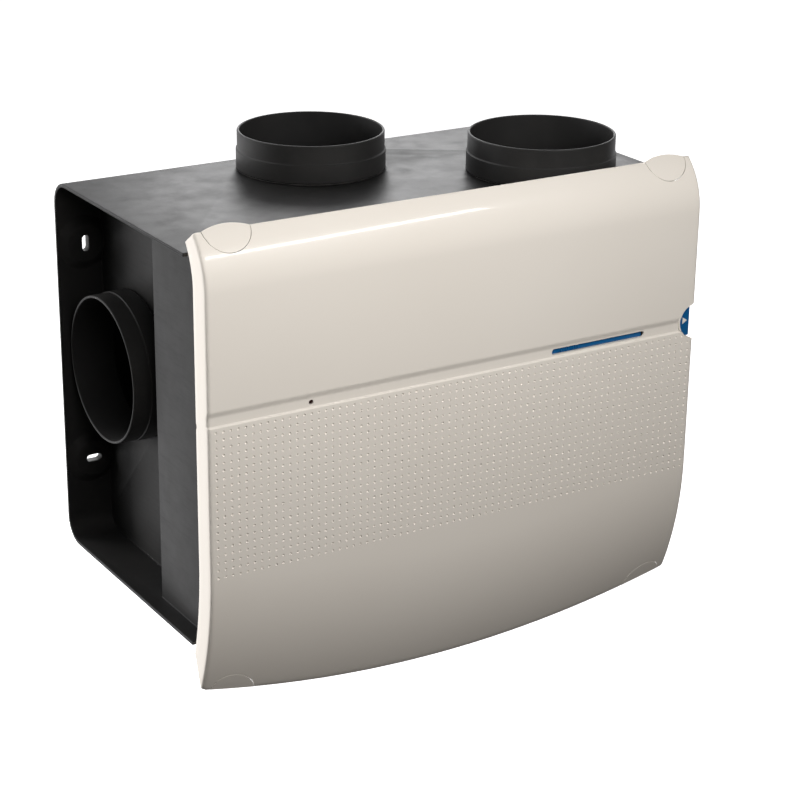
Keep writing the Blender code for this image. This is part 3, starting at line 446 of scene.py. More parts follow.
class Finish(Enum):
    """The finishes of the unit; each value knows how to make its material."""

    DARK = SatinMoulding("dark_plastic", (0.016, 0.016, 0.0165), (0.023, 0.0225, 0.022), 0.44)
    CREAM = GlossMoulding("cream_plastic", (0.795, 0.745, 0.680), (0.815, 0.768, 0.705))
    BLUE = SatinMoulding("blue_plastic", (0.003, 0.082, 0.23), (0.004, 0.100, 0.28), 0.34, 1500.0,
                         0.00001)
    BLACK = SatinMoulding("black_plastic", (0.012, 0.012, 0.013), (0.020, 0.020, 0.021), 0.38, 900.0)
    GREY = SatinMoulding("grey_plastic", (0.27, 0.28, 0.29), (0.34, 0.345, 0.35), 0.48, 1200.0)
    RUBBER = SoftRubber("seal_rubber", (0.012, 0.012, 0.012), (0.030, 0.029, 0.028))
    ZINC = BareMetal("zinc_steel", (0.50, 0.51, 0.53), (0.72, 0.72, 0.72), 0.30, (1.0, 1.0, 14.0),
                     260.0, 0.00001)
    ALUMINIUM = BareMetal("cast_aluminium", (0.46, 0.47, 0.48), (0.60, 0.60, 0.61), 0.42,
                          (1.0, 1.0, 1.0), 1100.0, 0.00006)
    BOARD = CircuitBoard("board_green", (0.008, 0.10, 0.040), (0.022, 0.20, 0.085),
                         (0.62, 0.60, 0.55))
    LENS = SmokedLens("lens_smoke", (0.020, 0.010, 0.010), (0.045, 0.018, 0.016))


@lru_cache(maxsize=None)
def material_of(finish: Finish) -> bpy.types.Material:
    """The material of a finish, made once."""
    return finish.value.material()


# --------------------------------------------------------------------------- mesh tools
def shape_object(name: str, shape: bmesh.types.BMesh) -> bpy.types.Object:
    """Turn a bmesh into a linked object, and free it.

    Args:
        name: the object's name.
        shape: the bmesh.

    Returns:
        The object.
    """
    mesh = bpy.data.meshes.new(name)
    shape.to_mesh(mesh)
    shape.free()
    thing = bpy.data.objects.new(name, mesh)
    bpy.context.scene.collection.objects.link(thing)
    return thing


def bake_modifiers(thing: bpy.types.Object) -> bpy.types.Object:
    """Replace an object's mesh with what its modifiers make of it.

    Args:
        thing: the object.

    Returns:
        The same object without modifiers.
    """
    bpy.context.view_layer.update()
    graph = bpy.context.evaluated_depsgraph_get()
    mesh = bpy.data.meshes.new_from_object(thing.evaluated_get(graph), depsgraph=graph)
    thing.modifiers.clear()
    thing.data = mesh
    return thing


def carve(thing: bpy.types.Object, tool: bpy.types.Object) -> None:
    """Cut a closed tool from a closed piece, and remove the tool."""
    step = thing.modifiers.new("carve", "BOOLEAN")
    step.operation = "DIFFERENCE"
    step.solver = "MANIFOLD"
    step.object = tool
    bake_modifiers(thing)
    bpy.data.objects.remove(tool, do_unlink=True)


def round_edges(thing: bpy.types.Object, width: float, segments: int, angle: float,
                clamp: bool = False) -> None:
    """Round an object's sharp edges, with normals that keep its flats flat.

    Args:
        thing: the object.
        width: how wide the rounding is.
        segments: its steps.
        angle: the sharpest angle left alone, in degrees.
        clamp: whether the width gives way to short edges.
    """
    step = thing.modifiers.new("soft_edges", "BEVEL")
    step.width = width
    step.segments = segments
    step.limit_method = "ANGLE"
    step.angle_limit = math.radians(angle)
    step.harden_normals = True
    step.use_clamp_overlap = clamp
    thing.data.shade_smooth()
    bake_modifiers(thing)


def lathe(name: str, profile: Sequence[Flat], origin: Point, axis: Point, steps: int) -> bpy.types.Object:
    """Turn a closed profile of (radius, height) about an axis.

    Args:
        name: the object's name.
        profile: the profile's points in order.
        origin: the point of height zero on the axis.
        axis: the axis.
        steps: how many steps one turn has.

    Returns:
        The turned object.
    """
    frame = Matrix.Translation(origin) @ Vector(axis).to_track_quat("Z", "Y").to_matrix().to_4x4()
    shape = bmesh.new()
    loops = []
    for i in range(steps):
        angle = math.tau * i / steps
        loops.append([shape.verts.new(frame @ Vector((r * math.cos(angle), r * math.sin(angle), h)))
                      for r, h in profile])
    count = len(profile)
    for i in range(steps):
        here, there = loops[i], loops[(i + 1) % steps]
        for j in range(count):
            shape.faces.new((here[j], here[(j + 1) % count], there[(j + 1) % count], there[j]))
    bmesh.ops.recalc_face_normals(shape, faces=shape.faces)
    return shape_object(name, shape)


def arc(centre: Flat, radius: float, start: float, end: float, steps: int) -> list[Flat]:
    """Points on an arc, with the angles in degrees."""
    turns = [math.radians(start + (end - start) * i / steps) for i in range(steps + 1)]
    return [(centre[0] + radius * math.cos(turn), centre[1] + radius * math.sin(turn)) for turn in turns]


def add_prism(shape: bmesh.types.BMesh, outline: Sequence[Flat], near: float, far: float) -> None:
    """Add a closed prism on an outline (x, z) between two planes across Y.

    Args:
        shape: the bmesh that takes it.
        outline: the outline's points in order.
        near: Y of one end.
        far: Y of the other end.
    """
    front = [shape.verts.new((x, near, z)) for x, z in outline]
    back = [shape.verts.new((x, far, z)) for x, z in outline]
    count = len(outline)
    faces = [shape.faces.new(front), shape.faces.new(back[::-1])]
    for i in range(count):
        after = (i + 1) % count
        faces.append(shape.faces.new((front[after], front[i], back[i], back[after])))
    bmesh.ops.recalc_face_normals(shape, faces=faces)


def stadium(low_x: float, high_x: float, z: float, height: float) -> list[Flat]:
    """A slot outline (x, z) with round ends."""
    radius = height / 2
    return (arc((high_x - radius, z), radius, -90, 90, 8) + arc((low_x + radius, z), radius, 90, 270, 8))


class Workshop:
    """Dresses pieces: finish, smoothing, the body they ride on and the nodes they stand for."""

    def __init__(self, frame: dict[str, Any]) -> None:
        """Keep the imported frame."""
        self.nodes = frame["nodes"]

    def settle(self, thing: bpy.types.Object, body: str, finish: Finish, replaces: Iterable[str] = (),
               sharp: Optional[float] = 35.0) -> bpy.types.Object:
        """Finish a piece and hang it from its body.

        Args:
            thing: the piece.
            body: the CAD body it rides on.
            finish: its finish.
            replaces: the CAD nodes it stands for.
            sharp: edges above this angle stay sharp; None keeps the mesh's own normals.

        Returns:
            The piece.
        """
        if sharp is not None:
            thing.data.shade_smooth()
            thing.data.set_sharp_from_angle(angle=math.radians(sharp))
        thing.data.materials.clear()
        thing.data.materials.append(material_of(finish))
        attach(thing, body)
        if replaces:
            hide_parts(*replaces)
        LOG.info("%s on %s: %d faces", thing.name, body, len(thing.data.polygons))
        return thing

    def soften(self, node: str, finish: Finish, width: float, segments: int = 2, angle: float = 32.0,
               clamp: bool = False, edit: Optional[Callable[[bpy.types.Object], None]] = None
               ) -> bpy.types.Object:
        """Stand a round-edged copy in for a CAD node.

        Args:
            node: the CAD node.
            finish: the copy's finish.
            width: how wide the edge rounding is.
            segments: the rounding's steps.
            angle: the sharpest angle left alone, in degrees.
            clamp: whether the width gives way to short edges.
            edit: further work on the copy before its edges are rounded.

        Returns:
            The copy.
        """
        shape = bmesh.new()
        shape.from_mesh(self.nodes[node].data)
        bmesh.ops.remove_doubles(shape, verts=shape.verts, dist=0.000002)
        bmesh.ops.dissolve_limit(shape, angle_limit=math.radians(0.4), verts=shape.verts,
                                 edges=shape.edges)
        copy = shape_object(f"{node}_shell", shape)
        if edit is not None:
            edit(copy)
        round_edges(copy, width, segments, angle, clamp)
        return self.settle(copy, self.nodes[node]["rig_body"], finish, (node,), None)

    def repaint(self, finish: Finish, *names: str) -> None:
        """Give CAD nodes whose shape is right a finish of their own.

        Args:
            finish: the finish.
            names: the CAD nodes.
        """
        for name in names:
            self.nodes[name].data.materials.clear()
            self.nodes[name].data.materials.append(material_of(finish))
            LOG.info("%s keeps its mesh: %s", name, finish.value.name)


# --------------------------------------------------------------------------- cover
@dataclass
class CoverForm:
    """The cover's curved form, worked out from its packed box."""

    half_w: float
    face_y: float
    tip_z: float = -0.195
    arc_sag: float = 0.026
    crown_r: float = 0.060
    crown_z: float = 0.138
    top_z: float = 0.182
    chin_r: float = 0.300
    chin_height: float = 0.110
    flange_rear_y: float = -0.255
    flange_return: float = 0.011
    flange_top_z: float = 0.172
    flange_low_z: float = -0.167
    groove_top: float = 0.0474
    groove_fall: float = 0.0062
    groove_low: float = 0.0334
    groove_rise: float = 0.0018
    groove_depth: float = 0.0016

    def bottom_edge_z(self, x: float) -> float:
        """Height of the bottom edge, an arc that hangs lowest in the middle."""
        radius = (self.half_w ** 2 + self.arc_sag ** 2) / (2 * self.arc_sag)
        return self.tip_z - (math.sqrt(radius ** 2 - x ** 2) - (radius - self.arc_sag))

    def chin_start(self, x: float) -> float:
        """Height where the chin starts to curve back."""
        return self.bottom_edge_z(x) + self.chin_height

    def groove(self, z: float) -> float:
        """Depth of the groove at a height, with rounded shoulders."""
        def ease(share: float) -> float:
            share = min(max(share, 0.0), 1.0)
            return share * share * (3 - 2 * share)
        return (self.groove_depth * ease((self.groove_top - z) / self.groove_fall)
                * ease((z - self.groove_low) / self.groove_rise))

    def skin(self, x: float, z: float, depth: float = 0.0) -> Point:
        """Point of the skin at a place, moved in along its normal.

        Args:
            x: place across the cover.
            z: height on the outer skin.
            depth: how far under the skin.

        Returns:
            The point.
        """
        start = self.chin_start(x)
        if z > self.crown_z:
            rise = (z - self.crown_z) / self.crown_r
            reach = self.crown_r - depth
            return (x, self.face_y + self.crown_r - reach * math.sqrt(1 - rise ** 2),
                    self.crown_z + reach * rise)
        if z < start:
            fall = (start - z) / self.chin_r
            reach = self.chin_r - depth
            return (x, self.face_y + self.chin_r - reach * math.sqrt(1 - fall ** 2), start - reach * fall)
        return (x, self.face_y + self.groove(z) + depth, z)

    def flange_rear(self, z: float) -> Flat:
        """Rear edge (y, z) of the side flange beside a height on the face."""
        start = self.chin_start(self.half_w)
        if z > self.crown_z:
            share = (z - self.crown_z) / (self.top_z - self.crown_z)
            level = self.crown_z + share * (self.flange_top_z - self.crown_z)
        elif z < start:
            share = (start - z) / self.chin_height
            level = start - share * (start - self.flange_low_z)
        else:
            return (self.flange_rear_y, z)
        return (self.flange_rear_y + self.flange_return * share ** 2, level)


@dataclass
class FrontCover:
    """The glossy front cover with its groove, dimple field and cut-outs."""

    shop: Workshop
    form: CoverForm
    thick: float = 0.0025
    edge_soft: float = 0.003
    rim_soft: float = 0.0006
    dimple_columns: int = 72
    dimple_rows: int = 20
    dimple_top: float = 0.0300
    dimple_pitch: float = 0.00632
    dimple_r: float = 0.00115
    dimple_depth: float = 0.00085
    tile_cuts: int = 3
    corner_steps: int = 5
    flange_steps: int = 4
    crown_rows: int = 30
    plain_rows: int = 12
    groove_rows: int = 34
    groove_spare: float = 0.0004
    chin_rows: int = 26
    slit: tuple[float, float] = (0.084, 0.179)
    slit_z: float = 0.03875
    slit_height: float = 0.0050
    lens_x: float = -0.142
    lens_hole_r: float = 0.0020
    thumb_r: float = 0.015
    thumb_z: float = 0.042
    thumb_fillet: float = 0.005
    thumb_reach: float = 0.014
    nick_r: float = 0.004
    nick_z: float = 0.030
    clip_gap: float = 0.00035
    lip_r: float = 0.0009
    lip_lap: float = 0.75
    lip_steps: int = 10
    # Length of each black plug that paints the shade in one end of the slit.
    shade_plug_length: float = 0.0026

    def level_rows(self) -> list[float]:
        """Heights of the rows from the top edge to the dimple field's lower end.

        Returns:
            The heights, from the top down.
        """
        form = self.form
        top_angle = math.asin((form.top_z - form.crown_z) / form.crown_r)
        crown, plain, fine = self.crown_rows, self.plain_rows, self.groove_rows
        rows = [form.crown_z + form.crown_r * math.sin(top_angle * (1 - i / crown)) for i in range(crown)]
        upper_end = form.groove_top + self.groove_spare
        rows += [form.crown_z + (upper_end - form.crown_z) * i / plain for i in range(plain)]
        low_end = self.field_top()
        rows += [upper_end + (low_end - upper_end) * i / fine for i in range(fine)]
        cells = self.dimple_rows * self.tile_cuts
        rows += [low_end - self.dimple_pitch * i / self.tile_cuts for i in range(cells + 1)]
        return rows

    def field_top(self) -> float:
        """Height of the dimple field's upper end."""
        return self.dimple_top + self.dimple_pitch / 2

    def section(self, z_at: Callable[[float], float], depth: float) -> list[Point]:
        """One section of the skin from the left flange's rear to the right flange's rear.

        Args:
            z_at: the row's height at a place across.
            depth: 0 for the outer skin, or the cover's thickness for the inner one.

        Returns:
            The section's points.
        """
        form = self.form
        reach = form.half_w - self.edge_soft
        radius = self.edge_soft - depth
        corner_z = z_at(form.half_w)
        side = []
        for i in range(1, self.corner_steps + 1):
            turn = math.pi / 2 * i / self.corner_steps
            x = reach + radius * math.sin(turn)
            under = self.edge_soft - radius * math.cos(turn)
            side.append((x, *form.skin(form.half_w, corner_z, under)[1:]))
        rear = form.flange_rear(corner_z)
        _, start_y, start_z = side[-1]
        for i in range(1, self.flange_steps + 1):
            share = i / self.flange_steps
            side.append((reach + radius, start_y + (rear[0] - start_y) * share,
                         start_z + (rear[1] - start_z) * share))
        count = self.dimple_columns * self.tile_cuts
        places = [-reach + 2 * reach * i / count for i in range(count + 1)]
        face = [form.skin(x, z_at(x), depth) for x in places]
        return [(-x, y, z) for x, y, z in reversed(side)] + face + side

    def row_heights(self) -> list[Callable[[float], float]]:
        """Each row's height as a function of the place across."""
        rows: list[Callable[[float], float]] = [lambda x, z=z: z for z in self.level_rows()]
        low = self.level_rows()[-1]
        for i in range(1, self.chin_rows + 1):
            rows.append(lambda x, share=i / self.chin_rows: low + (self.form.bottom_edge_z(x) - low) * share)
        return rows

    def add_dimple(self, shape: bmesh.types.BMesh, rim: list[bmesh.types.BMVert],
                   middle: Flat) -> None:
        """Fill one tile with a round dimple.

        Args:
            shape: the bmesh that takes it.
            rim: the tile's border in order, from its lower left corner.
            middle: the dimple's centre (x, z).
        """
        count = len(rim)
        rings = [rim]
        for radius, depth in ((1.0, 0.0), (0.82, 0.58), (0.45, 0.93)):
            ring = []
            for i in range(count):
                turn = math.radians(-135 + 360 * i / count)
                x = middle[0] + self.dimple_r * radius * math.cos(turn)
                z = middle[1] + self.dimple_r * radius * math.sin(turn)
                ring.append(shape.verts.new(self.form.skin(x, z, self.dimple_depth * depth)))
            rings.append(ring)
        for outer, inner in zip(rings, rings[1:]):
            for i in range(count):
                after = (i + 1) % count
                shape.faces.new((outer[i], outer[after], inner[after], inner[i]))
        bottom = shape.verts.new(self.form.skin(*middle, self.dimple_depth))
        for i in range(count):
            shape.faces.new((rings[-1][i], rings[-1][(i + 1) % count], bottom))

    def build_skin(self, dimpled: bool) -> bpy.types.Object:
        """Build the closed shell: outer skin, inner skin and the rims between them.

        Args:
            dimpled: whether the dimple field is real geometry.

        Returns:
            The shell.
        """
        shape = bmesh.new()
        rows = self.row_heights()
        outer = [[shape.verts.new(point) for point in self.section(z_at, 0.0)] for z_at in rows]
        inner = [[shape.verts.new(point) for point in self.section(z_at, self.thick)] for z_at in rows]
        first_row = len(self.level_rows()) - 1 - self.dimple_rows * self.tile_cuts
        first_column = self.corner_steps + self.flange_steps
        last_row = len(rows) - 1
        last_column = len(outer[0]) - 1
        cuts = self.tile_cuts
        for r in range(last_row):
            for c in range(last_column):
                in_field = (dimpled and 0 <= r - first_row < self.dimple_rows * cuts
                            and 0 <= c - first_column < self.dimple_columns * cuts)
                if not in_field:
                    shape.faces.new((outer[r + 1][c], outer[r + 1][c + 1], outer[r][c + 1], outer[r][c]))
                elif (r - first_row) % cuts == 0 and (c - first_column) % cuts == 0:
                    low, right = r + cuts, c + cuts
                    rim = ([outer[low][k] for k in range(c, right)]
                           + [outer[k][right] for k in range(low, r, -1)]
                           + [outer[r][k] for k in range(right, c, -1)]
                           + [outer[k][c] for k in range(r, low)])
                    corners = (outer[low][c].co, outer[r][right].co)
                    self.add_dimple(shape, rim, ((corners[0].x + corners[1].x) / 2,
                                                 (corners[0].z + corners[1].z) / 2))
                shape.faces.new((inner[r][c], inner[r][c + 1], inner[r + 1][c + 1], inner[r + 1][c]))
        rims = []
        for c in range(last_column):
            rims.append(shape.faces.new((outer[0][c], outer[0][c + 1], inner[0][c + 1], inner[0][c])))
            rims.append(shape.faces.new((inner[last_row][c], inner[last_row][c + 1],
                                         outer[last_row][c + 1], outer[last_row][c])))
        for r in range(last_row):
            rims.append(shape.faces.new((outer[r + 1][0], outer[r][0], inner[r][0], inner[r + 1][0])))
            rims.append(shape.faces.new((outer[r][last_column], outer[r + 1][last_column],
                                         inner[r + 1][last_column], inner[r][last_column])))
        loose = [vertex for vertex in shape.verts if not vertex.link_faces]
        bmesh.ops.delete(shape, geom=loose, context="VERTS")
        bmesh.ops.recalc_face_normals(shape, faces=shape.faces)
        rim_faces = set(rims)
        edges = [edge for edge in shape.edges
                 if len(rim_faces.intersection(edge.link_faces)) == 1]
        bmesh.ops.bevel(shape, geom=edges, offset=self.rim_soft, segments=2, affect="EDGES",
                        profile=0.5, clamp_overlap=False)
        return shape_object("cover_shell", shape)

    def thumb_outline(self, past: float) -> list[Flat]:
        """Outline (x, z) of the half-round thumb notch with its filleted mouth.

        Args:
            past: how far the outline runs past the cover's side.

        Returns:
            The outline.
        """
        edge = self.form.half_w
        fillet = self.thumb_fillet
        reach = math.sqrt((self.thumb_r + fillet) ** 2 - fillet ** 2)
        turn = math.degrees(math.atan2(reach, -fillet))
        upper = arc((edge - fillet, self.thumb_z + reach), fillet, 0, turn - 180, 6)
        bowl = arc((edge, self.thumb_z), self.thumb_r, turn, 360 - turn, 28)
        lower = [(x, 2 * self.thumb_z - z) for x, z in reversed(upper)]
        outside = [(edge + past, self.thumb_z - reach), (edge + past, self.thumb_z + reach)]
        return upper + bowl[1:-1] + lower + outside

    def cutters(self) -> bpy.types.Object:
        """One tool for all the cut-outs, of separate closed bodies.

        Returns:
            The tool.
        """
        shape = bmesh.new()
        near = self.form.face_y - 0.002
        far = self.form.face_y + 0.008
        add_prism(shape, stadium(*self.slit, self.slit_z, self.slit_height), near, far)
        add_prism(shape, self.thumb_outline(0.002), near, self.form.face_y + self.thumb_reach)
        add_prism(shape, arc((self.lens_x, self.slit_z), self.lens_hole_r, 0, 345, 23), near, far)
        nick_y = self.form.flange_rear_y + self.nick_r * 0.6
        nick = arc((nick_y, self.nick_z), self.nick_r, 0, 345, 23)
        ends = [[shape.verts.new((x, y, z)) for y, z in nick]
                for x in (-self.form.half_w - 0.002, -self.form.half_w + 0.006)]
        faces = [shape.faces.new(ends[0]), shape.faces.new(ends[1][::-1])]
        for i in range(len(nick)):
            after = (i + 1) % len(nick)
            faces.append(shape.faces.new((ends[0][after], ends[0][i], ends[1][i], ends[1][after])))
        bmesh.ops.recalc_face_normals(shape, faces=faces)
        for corner in CornerClips.corners():
            patch = CornerClips.patch(self.form, corner, self.clip_gap, 0.012, -0.006)
            shape.from_mesh(patch)
        return shape_object("cover_cutters", shape)

    def thumb_lip(self) -> bpy.types.Object:
        """The rounded lip that frames the thumb notch.

        Returns:
            The lip.
        """
        bar = self.lip_r
        outline = self.thumb_outline(0.0)[:-2]
        limit = self.form.half_w - bar
        outline = [(x, z) for x, z in outline if x <= limit]
        shape = bmesh.new()
        rings = []
        for i, (x, z) in enumerate(outline):
            ahead = Vector(outline[min(i + 1, len(outline) - 1)]) - Vector(outline[max(i - 1, 0)])
            side = Vector((-ahead.y, ahead.x)).normalized()
            ring = []
            for turn in range(self.lip_steps):
                angle = math.tau * turn / self.lip_steps
                out = bar * (math.cos(angle) - self.lip_lap)
                y = self.form.face_y + bar + bar * math.sin(angle)
                ring.append(shape.verts.new((x + side.x * out, y, z + side.y * out)))
            rings.append(ring)
        for here, there in zip(rings, rings[1:]):
            for turn in range(self.lip_steps):
                after = (turn + 1) % self.lip_steps
                shape.faces.new((here[turn], here[after], there[after], there[turn]))
        shape.faces.new(rings[0])
        shape.faces.new(rings[-1][::-1])
        bmesh.ops.recalc_face_normals(shape, faces=shape.faces)
        return shape_object("thumb_notch_lip", shape)

    def lens(self) -> bpy.types.Object:
        """The small domed indicator lens.

        Returns:
            The lens.
        """
        low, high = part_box("indicator_lens")
        radius = (high.x - low.x) / 2
        length = high.y - low.y
        profile = [(0.00004, 0.0), (0.00004, length)] + [
            (radius * math.sin(turn), length - radius * 0.35 * (1 - math.cos(turn)))
            for turn in (0.35, 0.75, 1.15, math.pi / 2)] + [(radius, 0.0)]
        origin = (self.lens_x, high.y, self.slit_z)
        return lathe("indicator_lens_dome", profile, origin, (0, -1, 0), 32)

    def slit_end_shade_plugs(self) -> bpy.types.Object:
        """Two black plugs in the ends of the slit: painted shade where the slit's ends fall dark.

        Returns:
            The plugs of painted shade.
        """
        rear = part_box("latch_slide")[0].y - 0.0001
        half = self.slit_height / 2 + 0.0008
        shape = bmesh.new()
        for left in (self.slit[0] - 0.001, self.slit[1] + 0.001 - self.shade_plug_length):
            outline = [(left, self.slit_z - half), (left + self.shade_plug_length, self.slit_z - half),
                       (left + self.shade_plug_length, self.slit_z + half), (left, self.slit_z + half)]
            add_prism(shape, outline, rear - 0.0006, rear)
        return shape_object("slit_end_shade_plugs", shape)

    def build(self) -> None:
        """Build and dress the cover, its lip, its lens and the latch guides behind it."""
        shell = self.build_skin(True)
        carve(shell, self.cutters())
        self.shop.settle(shell, "cover", Finish.CREAM, ("front_cover",), 30.0)
        # Black plugs in the slit's ends that paint the shade there.
        stops = self.slit_end_shade_plugs()
        round_edges(stops, 0.00015, 2, 40.0)
        self.shop.settle(stops, "cover", Finish.BLACK, (), None)
        self.shop.settle(self.thumb_lip(), "cover", Finish.CREAM)
        self.shop.settle(self.lens(), "cover", Finish.LENS, ("indicator_lens",))
        for number in (1, 2):
            self.shop.soften(f"latch_guide_{number}", Finish.GREY, 0.0004)


@dataclass(frozen=True)
class Corner:
    """One corner of the cover: its clip's number, side and height."""

    number: int
    side: int
    upper: bool


@dataclass
class CornerClips:
    """The clips that show as round caps in the cover's corners."""

    shop: Workshop
    form: CoverForm
    radius: float = 0.020
    centre_x: float = 0.204
    crown: float = 0.0045
    drop: float = 0.004
    thick: float = 0.0025
    rib_half: float = 0.006
    columns: int = 44
    rows: int = 14

    @staticmethod
    def corners() -> list[Corner]:
        """The four corners, upper ones first."""
        return [Corner(1, -1, True), Corner(2, 1, True), Corner(3, -1, False), Corner(4, 1, False)]

    @staticmethod
    def patch(form: CoverForm, corner: Corner, spare: float, thick: float, start: float) -> bpy.types.Mesh:
        """A round patch of the cover's skin at a corner, as a closed plate.

        Args:
            form: the cover's form.
            corner: which corner.
            spare: extra radius, for the cut-out around a cap.
            thick: the plate's thickness.
            start: depth of its outer face under the skin.

        Returns:
            The plate's mesh.
        """
        radius = CornerClips.radius + spare
        drop = 0.0 if corner.upper else CornerClips.drop
        end = math.sqrt(radius ** 2 - (drop + 0.0008) ** 2)
        columns, rows = CornerClips.columns, CornerClips.rows
        top_angle = math.asin((form.top_z - form.crown_z) / form.crown_r)
        low_angle = math.asin(form.chin_height / form.chin_r)
        shape = bmesh.new()
        skins = []
        for depth in (start, start + thick):
            grid = []
            for i in range(columns + 1):
                across = -end * math.cos(math.pi * i / columns)
                x = corner.side * CornerClips.centre_x + across
                inner = math.sqrt(radius ** 2 - across ** 2) - drop
                outer = -CornerClips.crown * (1 - (across / radius) ** 2) if corner.upper else 0.0
                outer = -0.008 if spare else outer
                line = []
                for j in range(rows + 1):
                    travel = inner + (outer - inner) * j / rows
                    if corner.upper:
                        angle = top_angle - travel / form.crown_r
                        reach = form.crown_r - depth
                        spot = (x, form.face_y + form.crown_r - reach * math.cos(angle),
                                form.crown_z + reach * math.sin(angle))
                    else:
                        angle = low_angle - travel / form.chin_r
                        reach = form.chin_r - depth
                        spot = (x, form.face_y + form.chin_r - reach * math.cos(angle),
                                form.chin_start(x) - reach * math.sin(angle))
                    line.append(shape.verts.new(spot))
                grid.append(line)
            skins.append(grid)
        front, back = skins
        for i in range(columns):
            for j in range(rows):
                shape.faces.new((front[i][j], front[i + 1][j], front[i + 1][j + 1], front[i][j + 1]))
                shape.faces.new((back[i][j], back[i][j + 1], back[i + 1][j + 1], back[i + 1][j]))
        border = ([(i, 0) for i in range(columns)] + [(columns, j) for j in range(rows)]
                  + [(i, rows) for i in range(columns, 0, -1)] + [(0, j) for j in range(rows, 0, -1)])
        for (i, j), (k, m) in zip(border, border[1:] + border[:1]):
            shape.faces.new((front[i][j], back[i][j], back[k][m], front[k][m]))
        bmesh.ops.recalc_face_normals(shape, faces=shape.faces)
        mesh = bpy.data.meshes.new(f"clip_patch_{corner.number}")
        shape.to_mesh(mesh)
        shape.free()
        return mesh

    def build(self) -> None:
        """Build the four caps with their ribs."""
        for corner in self.corners():
            node = f"corner_clip_{corner.number}"
            cap = bpy.data.objects.new(f"{node}_cap", self.patch(self.form, corner, 0.0, self.thick, 0.0))
            bpy.context.scene.collection.objects.link(cap)
            round_edges(cap, 0.0004, 2, 50.0)
            self.shop.settle(cap, "housing", Finish.CREAM, (), None)
            low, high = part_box(node)
            x = corner.side * self.centre_x
            panel_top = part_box("front_panel")[1].z
            shape = bmesh.new()
            if corner.upper:
                levels = (panel_top + 0.0003, panel_top + 0.009)
                probe = levels[1]
            else:
                levels = (self.form.bottom_edge_z(x) + 0.010, -panel_top - 0.0003)
                probe = levels[0]
            front = self.form.skin(x, probe)[1] + 0.0014
            outline = [(x - self.rib_half, levels[0]), (x + self.rib_half, levels[0]),
                       (x + self.rib_half, levels[1]), (x - self.rib_half, levels[1])]
            add_prism(shape, outline, front, high.y)
            rib = shape_object(f"{node}_rib", shape)
            round_edges(rib, 0.0005, 2, 50.0)
            self.shop.settle(rib, "housing", Finish.CREAM, (node,), None)


# --------------------------------------------------------------------------- housing
@dataclass
class RearHousing:
    """The deep dark moulding with its side recesses, wall bosses and screw posts."""

    shop: Workshop

    def build(self) -> None:
        """Build and dress the housing, the cable gland and its nut."""
        self.shop.soften("rear_housing", Finish.DARK, 0.0007, 3, 35.0)
        self.shop.soften("cable_gland", Finish.GREY, 0.0005, 2, 30.0)
        self.shop.soften("gland_nut", Finish.GREY, 0.0004, 2, 40.0)


@dataclass
class DuctSpigots:
    """The four round spigots that the ducts slide over."""

    shop: Workshop
    outer_r: float = 0.0623
    wall: float = 0.0023
    height: float = 0.033
    sleeve_top: float = 0.017
    sleeve_extra: float = 0.0010
    neck_r: float = 0.0615
    seal_thick: float = 0.0018
    under: float = 0.0033
    bead: float = 0.0026
    steps: int = 128

    def profile(self) -> list[Flat]:
        """Profile of (radius, height) with a full-round lip and a soft step.

        Returns:
            The closed profile.
        """
        bore = self.outer_r - self.wall
        lip = self.wall / 2
        sleeve = self.outer_r + self.sleeve_extra
        soft = 0.0005
        lip_arc = arc((self.outer_r - lip, self.height - lip), lip, 0, 180, 8)
        step = [(self.outer_r, self.sleeve_top + 0.0012), (self.outer_r + 0.0001, self.sleeve_top + 0.0006)]
        step += arc((sleeve - soft, self.sleeve_top - soft), soft, 80, 0, 4)
        foot = arc((sleeve - soft, self.seal_thick + soft), soft, 0, -90, 4)
        return (list(lip_arc[:1]) + step + foot
                + [(self.neck_r, self.seal_thick), (self.neck_r, -self.under),
                   (self.neck_r + 0.0008, -self.under - 0.0003), (self.neck_r, -self.under - self.bead),
                   (bore + 0.0006, -self.under - self.bead), (bore, -self.under - self.bead + 0.0006)]
                + list(lip_arc[:0:-1]))

    def build(self) -> None:
        """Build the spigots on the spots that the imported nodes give, and dress their seals."""
        for name, axis in (("top_rear", (0, 0, 1)), ("top_front", (0, 0, 1)), ("left", (-1, 0, 0)),
                           ("right", (1, 0, 0))):
            low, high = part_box(f"spigot_{name}")
            centre = (low + high) / 2
            along = Vector(axis)
            mouth = max(low.dot(along), high.dot(along))
            origin = centre - along * centre.dot(along) + along * (mouth - self.height)
            thing = lathe(f"spigot_{name}_tube", self.profile(), origin, axis, self.steps)
            self.shop.settle(thing, "housing", Finish.DARK, (f"spigot_{name}",), 40.0)
            self.shop.soften(f"spigot_seal_{name}", Finish.RUBBER, 0.0003, 2, 50.0)


